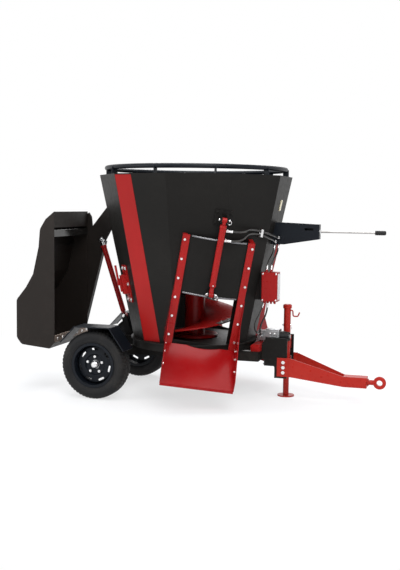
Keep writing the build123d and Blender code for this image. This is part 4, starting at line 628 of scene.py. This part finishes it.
class MIXER_OT_stage(bpy.types.Operator):
    """Set up the camera, the floor, the sky and the soft lamps"""
    bl_idname = "mixer.stage"
    bl_label = "Stage"

    def camera(self, scene):
        """The camera, as the sizes of the panel say."""
        choice = sizes()
        camera = bpy.data.objects.new("camera", bpy.data.cameras.new("camera"))
        scene.collection.objects.link(camera)
        turn = choice.camera_turn
        away = Vector((sin(turn), -cos(turn), 0.0)) * choice.camera_distance
        camera.location = away + UP * choice.camera_height
        aim = (CAMERA_TARGET - camera.location).to_track_quat("-Z", "Y")
        camera.rotation_euler = (aim @ Quaternion(UP, choice.camera_roll)).to_euler()
        camera.data.lens = choice.camera_lens
        camera.data.clip_end = 200
        scene.camera = camera

    def floor(self):
        """A pale floor that fades into the backdrop."""
        finish = Finish("studio_floor", roughness=0.9, base_color=(*colours().floor, 1.0))
        glow = finish.node("ShaderNodeEmission", inputs={"Color": (*BACKDROP, 1), "Strength": 1.0})
        away = finish.node("ShaderNodeVectorMath", {"operation": "LENGTH"}, {0: finish.place()}, output="Value")
        shown = finish.backdrop_rays() * finish.span(away, 1.6, 4.2, 0.62, 1.0)
        lit = Wire(finish, finish.surface.outputs[0])
        faded = finish.node("ShaderNodeMixShader", inputs={0: shown, 1: lit, 2: glow})
        finish.link(faded, "Material Output", "Surface")
        mesh = bmesh.new()
        bmesh.ops.create_grid(mesh, x_segments=2, y_segments=2, size=60)
        ground = mesh_piece("studio_floor", mesh)
        ground.data.materials.append(finish.material)

    def sky(self, scene):
        """Even light from all round, which looks white."""
        scene.world = bpy.data.worlds.new("sky")
        scene.world.use_nodes = True
        graph = Graph(scene.world.node_tree)
        graph.link(graph.mix(graph.backdrop_rays(), SKY_LIGHT, BACKDROP), "Background", "Color")

    def lamps(self, scene):
        """Soft lamps round the machine."""
        for name, place, size, power in LAMPS:
            lamp = bpy.data.objects.new(name, bpy.data.lights.new(name, "AREA"))
            lamp.data.size = size
            lamp.data.energy = power
            lamp.location = place
            lamp.rotation_euler = (LAMP_TARGET - lamp.location).to_track_quat("-Z", "Y").to_euler()
            scene.collection.objects.link(lamp)

    def execute(self, context):
        scene = context.scene
        scene.view_settings.view_transform = "Standard"
        self.camera(scene)
        self.floor()
        self.sky(scene)
        self.lamps(scene)
        return {"FINISHED"}


class MIXER_OT_hoses(bpy.types.Operator):
    """Run the hydraulic hoses with their crimped ferrules"""
    bl_idname = "mixer.hoses"
    bl_label = "Hoses"

    def run(self, name, points, diameter):
        """The hose itself, as a round curve."""
        curve = bpy.data.curves.new(name, "CURVE")
        curve.dimensions = "3D"
        curve.bevel_depth = diameter / 2
        curve.bevel_resolution = 5
        curve.resolution_u = 16
        curve.use_fill_caps = True
        spline = curve.splines.new("NURBS")
        spline.points.add(len(points) - 1)
        for point, place in zip(spline.points, points):
            point.co = (*place, 1.0)
        spline.order_u = 3
        spline.use_endpoint_u = True
        hose = bpy.data.objects.new(name, curve)
        bpy.context.scene.collection.objects.link(hose)
        return settle(hose, "machine", "hose")

    def ferrules(self, name, points, diameter):
        """The crimped ferrules at both ends of a hose."""
        mesh = bmesh.new()
        outline = [(along, diameter / 2 * share) for along, share in FERRULE]
        for end, inner in ((points[0], points[1]), (points[-1], points[-2])):
            inwards = (Vector(inner) - Vector(end)).normalized()
            lathe(mesh, Vector(end) + inwards * 0.0005, inwards, outline, 24)
        return settle(mesh_piece(name + "_ferrules", mesh), "machine", "zinc")

    def hose(self, name, points, diameter, length, node):
        """A hose in place of the CAD node that it belongs to."""
        hose = self.run(name, points, diameter)
        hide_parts(node)
        ferrules = self.ferrules(name, points, diameter)

    def execute(self, context):
        for level, length, points in DOOR_HOSE_ROUTES:
            for hand, side in (("right", 1), ("left", -1)):
                route = [(x, y * side, z) for x, y, z in points]
                self.hose(f"door_hose_{hand}_{level}", route, DOOR_HOSE, length, "door_hoses")
        for name, diameter, length, points in BOX_HOSE_ROUTES:
            self.hose(name, points, diameter, length, "box_hoses")
        dress("hose_clamps", "zinc")
        return {"FINISHED"}


class MIXER_OT_tub(bpy.types.Operator):
    """Paint the tub, its rail and floor, and add the stripe and the reflector"""
    bl_idname = "mixer.tub"
    bl_label = "Tub"

    def stripe(self, mesh):
        """A band down the edge of the flat behind the door, as a thin closed sheet."""
        out = tub_axes(STRIPE_FACE)[2]
        width = sizes().stripe_width
        section = ((0.0, 0.0003), (width, 0.0003), (width, 0.0014), (0.0, 0.0014))
        foot, top = FLOOR_TOP + 0.004, RIM_TOP - 0.010
        steps = 12
        rings = []
        for step in range(steps + 1):
            z = foot + (top - foot) * step / steps
            edge = 0.004 - tub_apothem(z) * tan(HALF_FACE)
            rings.append([tub_face(STRIPE_FACE, edge + across, z) + out * rise for across, rise in section])
        skin(mesh, rings)

    def reflector(self, mesh):
        """A cream reflector on the front flat, above the beam."""
        slab(mesh, tub_face(0, 0.0, REFLECTOR_HEIGHT), tub_axes(0), REFLECTOR_SIZE, 0.003)

    def reflector_screws(self, mesh):
        """Its two screws."""
        _, up, out = tub_axes(0)
        middle = tub_face(0, 0.0, REFLECTOR_HEIGHT) + out * REFLECTOR_SIZE[2]
        for rise in (-0.036, 0.036):
            pin_end(mesh, middle + up * rise, out, 0.004, 0.002)

    def rail_welds(self, mesh):
        """Beads where the rail's posts stand on the rim."""
        for k in range(POST_COUNT):
            turn = radians(POST_TURN + 360 * k / POST_COUNT)
            for hand in HANDS:
                foot = Vector((TUB_AXIS, 0.0, RIM_TOP)) + sideways(turn) * hand * 0.0045
                weld_bead(mesh, [foot + outward(turn) * reach for reach in POST_FOOT], 0.0035)

    def execute(self, context):
        dress("tub_shell tub_floor", "black")
        # The rail takes the black with a painted blue sky reflection
        dress("top_rail", "blue_black")
        single("tub_stripe", self.stripe, "stripe_red")
        single("tub_reflector", self.reflector, "cream")
        single("reflector_screws", self.reflector_screws, "zinc")
        single("rail_welds", self.rail_welds, "black")
        return {"FINISHED"}


class MIXER_OT_wheels(bpy.types.Operator):
    """Mould the tyres with their tread, and finish rims, hubs and nuts"""
    bl_idname = "mixer.wheels"
    bl_label = "Wheels"

    def point(self, side, reach, turn, across):
        """A point on a wheel, at a reach from its axle and across from its middle."""
        hub = Vector((AXLE_X, side * HALF_TRACK + across, WHEEL_RADIUS))
        return hub + Vector((cos(turn), 0.0, sin(turn))) * reach

    def groove(self, radius, across, phase):
        """Depth of the tread's cut at a place in its profile and a share of a block."""
        slanted = (phase + across * 6.0) % 1.0
        if radius > 0.285 and abs(across) > 0.042 and slanted < 0.26:
            return 0.0065
        if radius > 0.2965 and 0.012 < abs(across) < 0.034 and 0.45 < slanted < 0.72:
            return 0.0045
        return 0.0

    def tyre(self, side):
        """A tyre with ribs that slanted grooves cut into blocks."""
        half = TYRE_WALL + TYRE_TREAD
        profile = half + tuple((radius, -across) for radius, across in reversed(half))
        cuts = 4
        steps = sizes().tread_blocks * cuts
        rings = []
        for k in range(steps):
            turn = 2 * pi * k / steps
            rings.append([self.point(side, radius - self.groove(radius, across, k / cuts), turn, across)
                          for radius, across in profile])
        mesh = bmesh.new()
        skin(mesh, rings, closed=True)
        return mesh

    def valve(self, side):
        """The valve in a rim, which leans towards the hub."""
        turn = radians(130)
        mesh = bmesh.new()
        lathe(mesh, self.point(side, 0.150, turn, side * 0.020),
              (cos(turn) * -0.25, side, sin(turn) * -0.25), VALVE, 16)
        return mesh

    def execute(self, context):
        for name, side in (("right", -1), ("left", 1)):
            tyre = mesh_piece(f"tyre_{name}", self.tyre(side), 28.0)
            settle(tyre, f"wheel_{name}", "tyre")
            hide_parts(f"wheel_tyre_{name}")
            valve = mesh_piece(f"valve_{name}", self.valve(side))
            settle(valve, f"wheel_{name}", "plastic")
        # The rims take the black with a painted blue sky reflection
        dress("wheel_rim_right wheel_rim_left", "blue_black")
        dress("wheel_hub_right wheel_hub_left wheel_nuts_right wheel_nuts_left", "zinc")
        return {"FINISHED"}


class MIXER_OT_running_gear(bpy.types.Operator):
    """Paint the chassis, axle, fenders, drawbar, jack and drive, and add their fasteners and welds"""
    bl_idname = "mixer.running_gear"
    bl_label = "Running gear"

    def fender_edge(self, mesh):
        """A rolled wire in the outer edge of a fender."""
        tube(mesh, [(AXLE_X + x, -FENDER_EDGE, z + 0.002) for x, z in FENDER_CROWN], 0.006)

    def drive_bolts(self, mesh):
        """Bolts on the back of the pump and on both faces of the transfer case."""
        for y in (-0.030, 0.030):
            for z in (PTO_HEIGHT - 0.032, PTO_HEIGHT + 0.032):
                bolt(mesh, (PUMP_BACK, y, z), -FRONT, 0.012, 0.009)
        for z in (0.312, 0.385, 0.450):
            for y in (-0.098, 0.098):
                bolt(mesh, (CASE_FRONT, y, z), FRONT, 0.014, 0.009)
                bolt(mesh, (CASE_BACK, y, z), -FRONT, 0.014, 0.009)

    def pump_flanges(self, mesh):
        """Raised joint lines round the pump's castings."""
        for x in (0.548, 0.592):
            slab(mesh, (x - 0.004, 0.0, PTO_HEIGHT), (LEFT, UP, FRONT), (0.094, 0.098, 0.008), 0.0015)

    def case_ribs(self, mesh):
        """Ribs and the joint flange on both sides of the transfer case's cover."""
        for hand in HANDS:
            axes = (FRONT, UP, LEFT * hand)
            side = hand * COVER_SIDE
            slab(mesh, (CASE_MIDDLE, side, COVER_JOINT + 0.0005), axes, (0.108, 0.010, 0.008), 0.0015)
            for x in (-0.041, 0.0, 0.041):
                slab(mesh, (CASE_MIDDLE + x, side, COVER_JOINT + 0.024), axes, (0.012, 0.044, 0.006), 0.0015)

    def cover_bolts(self, mesh):
        """Bolts between the ribs."""
        for hand in HANDS:
            for x in (-0.0205, 0.0205):
                place = (CASE_MIDDLE + x, hand * COVER_SIDE, COVER_JOINT + 0.028)
                bolt(mesh, place, LEFT * hand, 0.012, 0.008)

    def jack_pins(self, mesh):
        """The jack's cross pin and its ring."""
        for hand in HANDS:
            pin_end(mesh, JACK + Vector((hand * 0.029, 0.0, 0.640)), FRONT * hand, 0.009, 0.012)
        wire_ring(mesh, JACK + Vector((0.040, 0.0, 0.622)), (1, 0.2, 0), 0.018, 0.0022)

    def hitch_welds(self, mesh):
        """Beads round the jack's sleeve, at the hitch and at its cap."""
        for z in (0.553, 0.791):
            ring = circle(JACK + UP * z, FRONT, LEFT, 0.0315, 32)
            weld_bead(mesh, ring + ring[:1], 0.004)

    def execute(self, context):
        dress("chassis_frame axle_beam hitch_plates main_gearbox", "black")
        dress("transfer_case", "gear_case")
        # The fenders and their rolled edges take the black with a painted blue sky reflection
        dress("fenders", "blue_black")
        # The drawbar, jack and hook take the red with painted sunlight
        dress("drawbar tow_eye jack_sleeve jack_leg hose_hook", "bright_red")
        dress("shaft_guard", "red")
        dress("drawbar_bolts", "zinc")
        dress("hydraulic_pump", "aluminium")
        dress("crown_gear pto_shaft drive_shaft", "steel")
        dress("pto_shield", "plastic")
        pair("fender_edge", self.fender_edge, "blue_black")
        single("drive_bolts", self.drive_bolts, "zinc")
        single("pump_flanges", self.pump_flanges, "aluminium")
        single("case_ribs", self.case_ribs, "aluminium")
        single("cover_bolts", self.cover_bolts, "zinc")
        single("jack_pins", self.jack_pins, "zinc")
        # The hitch welds take the red with painted sunlight
        single("hitch_welds", self.hitch_welds, "bright_red")
        return {"FINISHED"}


class MIXER_OT_auger(bpy.types.Operator):
    """Paint the auger and its knives and bolt them on"""
    bl_idname = "mixer.auger"
    bl_label = "Auger"

    def knife_bolts(self, mesh):
        """Two bolts through each knife, on top of the flight."""
        for k in range(KNIFE_COUNT):
            share = (k + 1) / (KNIFE_COUNT + 1)
            turn = radians(FLIGHT_START + FLIGHT_SWEEP * share)
            radius = FLIGHT_RADIUS - FLIGHT_TAPER * share
            climb = FLIGHT_RISE / (radians(FLIGHT_SWEEP) * radius)
            along = (sideways(turn) + UP * climb).normalized()
            top = Vector((TUB_AXIS, 0.0, FLIGHT_FOOT + FLIGHT_RISE * share + 0.016))
            centre = top + outward(turn) * (radius - 0.020)
            for reach in (-0.055, 0.030):
                bolt(mesh, centre + along * reach, outward(turn).cross(along), 0.018, 0.010)

    def execute(self, context):
        dress("auger_tube auger_flight", "red")
        dress("auger_knives", "steel")
        single("knife_bolts", self.knife_bolts, "zinc", "auger")
        return {"FINISHED"}


class MIXER_OT_doors(bpy.types.Operator):
    """Paint the doors, rails, chutes and door cylinders, and add their pins, clips, bolts and folded edges"""
    bl_idname = "mixer.doors"
    bl_label = "Doors"

    def edges(self, mesh):
        """Rolled edges along the top and the bottom of a door."""
        reach = DOOR_BOW + 0.0035
        turns = [radians(DOOR_HALF_BOW * (k / 12 - 1)) for k in range(25)]
        for along in DOOR_ENDS:
            line = [door_point(reach * sin(turn), along, reach * cos(turn) - DOOR_BOW) for turn in turns]
            tube(mesh, line, 0.008)

    def spring_clip(self, mesh, across, pin):
        """The ring of a spring clip on the end of a pin."""
        wire_ring(mesh, door_point(across, pin - 0.014, ROD_RISE + 0.008), DOOR_OUT, 0.0175, 0.0026, 40.0)

    def rod_end(self, mesh):
        """The forked end on the piston rod, with its lock nut."""
        lathe(mesh, door_point(0.0, 0.5365, ROD_RISE), -DOOR_SLIDE,
              [(0.0, 0.0150), (0.002, 0.0172), (0.030, 0.0172), (0.034, 0.0205), (0.052, 0.0205)])
        lathe(mesh, door_point(-0.0194, ROD_PIN, ROD_RISE), DOOR_SIDE,
              [(0.0, 0.0212), (0.001, 0.0220), (0.0378, 0.0220), (0.0388, 0.0212)])

    def rod_pin(self, mesh):
        """The pin through the rod end, with its washers and a spring clip."""
        for hand in HANDS:
            lathe(mesh, door_point(hand * 0.0285, ROD_PIN, ROD_RISE), DOOR_SIDE * hand,
                  [(0.0, 0.0165), (0.003, 0.0165), (0.0035, 0.0155)], 24)
            pin_end(mesh, door_point(hand * 0.0375, ROD_PIN, ROD_RISE), DOOR_SIDE * hand, 0.0112, 0.0075)
        self.spring_clip(mesh, 0.0390, ROD_PIN)
        tube(mesh, [door_point(0.0390, ROD_PIN + 0.004, ROD_RISE + 0.012),
                    door_point(0.0390, ROD_PIN - 0.010, ROD_RISE - 0.012)], 0.0026, 8)

    def barrel_rings(self, mesh):
        """The gland nut and the end cap of a barrel."""
        for along, outline in (
                (0.5660, [(0.0, 0.0258), (0.003, 0.0282), (0.021, 0.0282), (0.024, 0.0262)]),
                (1.0640, [(0.0, 0.0262), (0.003, 0.0280), (0.025, 0.0280), (0.028, 0.0258)])):
            lathe(mesh, door_point(0.0, along, ROD_RISE), -DOOR_SLIDE, outline)

    def barrel_pins(self, mesh):
        """The pin at the top of a barrel, with its clip, the nuts on its ports and a screw in its gland."""
        for hand in HANDS:
            pin_end(mesh, door_point(hand * 0.0395, BARREL_PIN, ROD_RISE), DOOR_SIDE * hand, 0.0115, 0.0080)
        self.spring_clip(mesh, 0.0420, BARREL_PIN)
        for along in BARREL_PORTS:
            lathe(mesh, door_point(0.0285, along, ROD_RISE), DOOR_SIDE,
                  [(0.0, 0.0140), (0.001, 0.0148), (0.012, 0.0148), (0.013, 0.0140)], 6)
        pin_end(mesh, door_point(0.0, 0.5560, ROD_RISE + 0.0275), DOOR_OUT, 0.0055, 0.0040)

    def pad_bolts(self, mesh):
        """Bolts through the pad of a barrel's bracket."""
        for across in (-0.056, 0.056):
            for along in (1.062, 1.150):
                bolt(mesh, door_point(across, along, -0.036), DOOR_OUT, 0.016, 0.009)

    def chute_lip(self, mesh):
        """The folded lip at the foot of a chute."""
        slab(mesh, door_point(-CHUTE_SKEW, -0.2310, 0.3740), (DOOR_SIDE, DOOR_SLIDE, DOOR_OUT),
             (0.606, 0.022, 0.0050), 0.0012)

    def chute_bolts(self, mesh):
        """Bolts through the side plates of a chute, from inside."""
        for rise in (0.020, 0.105, 0.230):
            share = (rise - CHUTE_BACK) / CHUTE_REACH
            along = 0.019 - CHUTE_FALL * share
            for hand in HANDS:
                place = door_point(hand * 0.3005 - CHUTE_SKEW * share, along, rise)
                bolt(mesh, place, DOOR_SIDE * -hand, 0.014, 0.007)

    def execute(self, context):
        dress("door_panel_right door_panel_left barrel_brackets", "black")
        dress("door_rails door_barrel_right door_barrel_left", "red")
        dress("chute_right chute_left", "chute_red")
        dress("door_rod_right door_rod_left", "chrome")
        dress("rail_bolts", "zinc")
        pair("door_edges", self.edges, "dark_metal", "door")
        pair("rod_end", self.rod_end, "red", "door")
        pair("rod_pin", self.rod_pin, "zinc", "door")
        pair("barrel_rings", self.barrel_rings, "red")
        pair("barrel_pins", self.barrel_pins, "zinc")
        pair("pad_bolts", self.pad_bolts, "black")
        pair("chute_lip", self.chute_lip, "chute_red")
        pair("chute_bolts", self.chute_bolts, "zinc")
        return {"FINISHED"}


class MIXER_OT_controls(bpy.types.Operator):
    """Paint the control box, its bracket, the beam and the lever, and add the box's lid and fittings"""
    bl_idname = "mixer.controls"
    bl_label = "Controls"

    def lid(self, mesh):
        """The lid on the outer face of the box."""
        slab(mesh, (BOX_X, BOX_SIDE, BOX_Z), (FRONT, UP, -LEFT), (0.132, 0.242, LID_THICK), 0.0015)

    def window(self, mesh):
        """A pale plate on the front end of the box."""
        slab(mesh, (BOX_FRONT, BOX_Y, BOX_Z), (LEFT, UP, FRONT), (0.094, 0.220, PLATE_THICK), 0.001)

    def box_bolts(self, mesh):
        """Bolts in the lid and screws in the plate."""
        for x in (BOX_X - 0.058, BOX_X + 0.058):
            for z in (BOX_Z - 0.112, BOX_Z + 0.112):
                bolt(mesh, (x, BOX_SIDE - LID_THICK, z), -LEFT, 0.010, 0.005)
        for y in (BOX_Y - 0.040, BOX_Y + 0.040):
            for z in (BOX_Z - 0.100, BOX_Z + 0.100):
                pin_end(mesh, (BOX_FRONT + PLATE_THICK, y, z), FRONT, 0.004, 0.002)

    def plugs(self, mesh):
        """Plugs in the unused ports under the box."""
        for x, y in ((0.690, -0.232), (0.722, -0.232), (0.705, -0.170)):
            lathe(mesh, (x, y, BOX_FOOT), -UP,
                  [(0.0, 0.012), (0.007, 0.012), (0.008, 0.009), (0.020, 0.009), (0.022, 0.007)], 20)

    def lever_collar(self, mesh):
        """The bushing that guides the lever out of the beam."""
        lathe(mesh, (BEAM_TIP, 0.0, LEVER_HEIGHT), FRONT,
              [(0.0, 0.0105), (0.0, 0.022), (0.004, 0.022), (0.010, 0.016), (0.010, 0.0105)], 28, closed=True)

    def knob_rings(self, mesh):
        """Grip rings on the knob."""
        for x in (1.548, 1.566, 1.584):
            wire_ring(mesh, (x, 0.0, LEVER_HEIGHT), FRONT, 0.0185, 0.0022)

    def execute(self, context):
        # The beam takes the black with a painted blue sky reflection
        dress("control_beam", "blue_black")
        dress("box_bracket", "black")
        dress("control_box", "red")
        dress("control_lever", "steel")
        dress("lever_knob", "plastic")
        single("box_lid", self.lid, "red")
        single("box_window", self.window, "pale")
        single("box_bolts", self.box_bolts, "zinc")
        single("box_plugs", self.plugs, "red")
        single("lever_collar", self.lever_collar, "zinc")
        single("knob_rings", self.knob_rings, "plastic", "lever")
        return {"FINISHED"}


class MIXER_OT_knife(bpy.types.Operator):
    """Finish the counter knife and its guide, with the guide's bolts"""
    bl_idname = "mixer.knife"
    bl_label = "Counter knife"

    def guide_bolts(self, mesh):
        """Two rows of bolts through the guide's plate."""
        up = GUIDE_OUT.cross(GUIDE_ACROSS)
        face = GUIDE_PLACE + GUIDE_OUT * 0.0122
        for side in (-0.0481, 0.0481):
            for rise in (-0.1386, 0.0, 0.1386):
                bolt(mesh, face + GUIDE_ACROSS * side + up * rise, GUIDE_OUT, 0.024, 0.0090)

    def execute(self, context):
        dress("knife_guide knife_blade", "red")
        single("guide_bolts", self.guide_bolts, "zinc")
        return {"FINISHED"}


class MIXER_OT_bucket(bpy.types.Operator):
    """Paint the loading bucket, its arm and its lift cylinder, and add the lip, pins and bolts"""
    bl_idname = "mixer.bucket"
    bl_label = "Loading bucket"

    def lip(self, mesh):
        """The bolted wear strip along the lip."""
        slab(mesh, (LIP_FACE, 0.0, LIP_HEIGHT), (LEFT, UP, FRONT), (0.730, 0.062, LIP_THICK), 0.002)

    def lip_bolts(self, mesh):
        """Its seven bolts."""
        for k in range(7):
            bolt(mesh, (LIP_FACE + LIP_THICK, -0.318 + 0.106 * k, LIP_HEIGHT), FRONT, 0.016, 0.006)

    def arm_bolts(self, mesh):
        """Bolts that hold the bucket to its arm."""
        for x, z in ((-1.300, 1.545), (-1.300, 1.430), (-1.335, 0.900), (-1.330, 0.720)):
            bolt(mesh, (x, ARM_OUTSIDE, z), LEFT, 0.024, 0.012)

    def pivot_caps(self, mesh):
        """Both ends of the arm's pivot and of the pin under the lift cylinder."""
        for hand in HANDS:
            pin_end(mesh, ARM_PIVOT + LEFT * hand * 0.021, LEFT * hand, 0.024, 0.010)
            pin_end(mesh, LIFT_FOOT + LEFT * hand * 0.0305, LEFT * hand, 0.016, 0.010)

    def rod_cap(self, mesh):
        """The inner end of the pin through the lift rod's eye."""
        pin_end(mesh, LIFT_HEAD - LEFT * 0.0175, -LEFT, 0.015, 0.010)

    def barrel_rings(self, mesh):
        """The gland nut at the top of the lift barrel."""
        line = (LIFT_HEAD - LIFT_FOOT).normalized()
        lathe(mesh, LIFT_HEAD - line * 0.059, -line,
              [(0.0, 0.0256), (0.003, 0.0280), (0.022, 0.0280), (0.025, 0.0256)])

    def execute(self, context):
        dress("bucket_shell bucket_arm", "warm_black")
        dress("bucket_beam", "gloss_black")
        dress("arm_bracket lift_bracket", "black")
        dress("lift_barrel", "red")
        dress("lift_rod", "chrome")
        single("bucket_lip", self.lip, "wear_steel", "bucket")
        single("bucket_lip_bolts", self.lip_bolts, "zinc", "bucket")
        single("arm_bolts", self.arm_bolts, "zinc", "bucket")
        single("pivot_caps", self.pivot_caps, "zinc")
        single("lift_rod_cap", self.rod_cap, "zinc", "lift_piston_rod")
        single("lift_barrel_rings", self.barrel_rings, "red", "lift_cylinder")
        return {"FINISHED"}


OPERATORS = (MIXER_OT_finishes, MIXER_OT_stage, MIXER_OT_hoses, MIXER_OT_tub, MIXER_OT_wheels,
             MIXER_OT_running_gear, MIXER_OT_auger, MIXER_OT_doors, MIXER_OT_controls, MIXER_OT_knife,
             MIXER_OT_bucket)


class MIXER_PT_panel(bpy.types.Panel):
    """Lists the colours, the sizes and the pieces"""
    bl_idname = "MIXER_PT_panel"
    bl_label = "Feed mixer"
    bl_space_type = "VIEW_3D"
    bl_region_type = "UI"
    bl_category = "Mixer"

    def draw(self, context):
        for group in (context.scene.mixer_colours, context.scene.mixer_sizes):
            for key in group.__annotations__:
                self.layout.prop(group, key)
        for operator in OPERATORS:
            self.layout.operator(operator.bl_idname)


CLASSES = (MixerColours, MixerSizes, *OPERATORS, MIXER_PT_panel)


def register():
    for cls in CLASSES:
        bpy.utils.register_class(cls)
    bpy.types.Scene.mixer_colours = PointerProperty(type=MixerColours)
    bpy.types.Scene.mixer_sizes = PointerProperty(type=MixerSizes)


def unregister():
    del bpy.types.Scene.mixer_sizes
    del bpy.types.Scene.mixer_colours
    for cls in reversed(CLASSES):
        bpy.utils.unregister_class(cls)


def main():
    register()
    for operator in OPERATORS:
        group, name = operator.bl_idname.split(".")
        getattr(getattr(bpy.ops, group), name)()


if __name__ == "__main__":
    main()
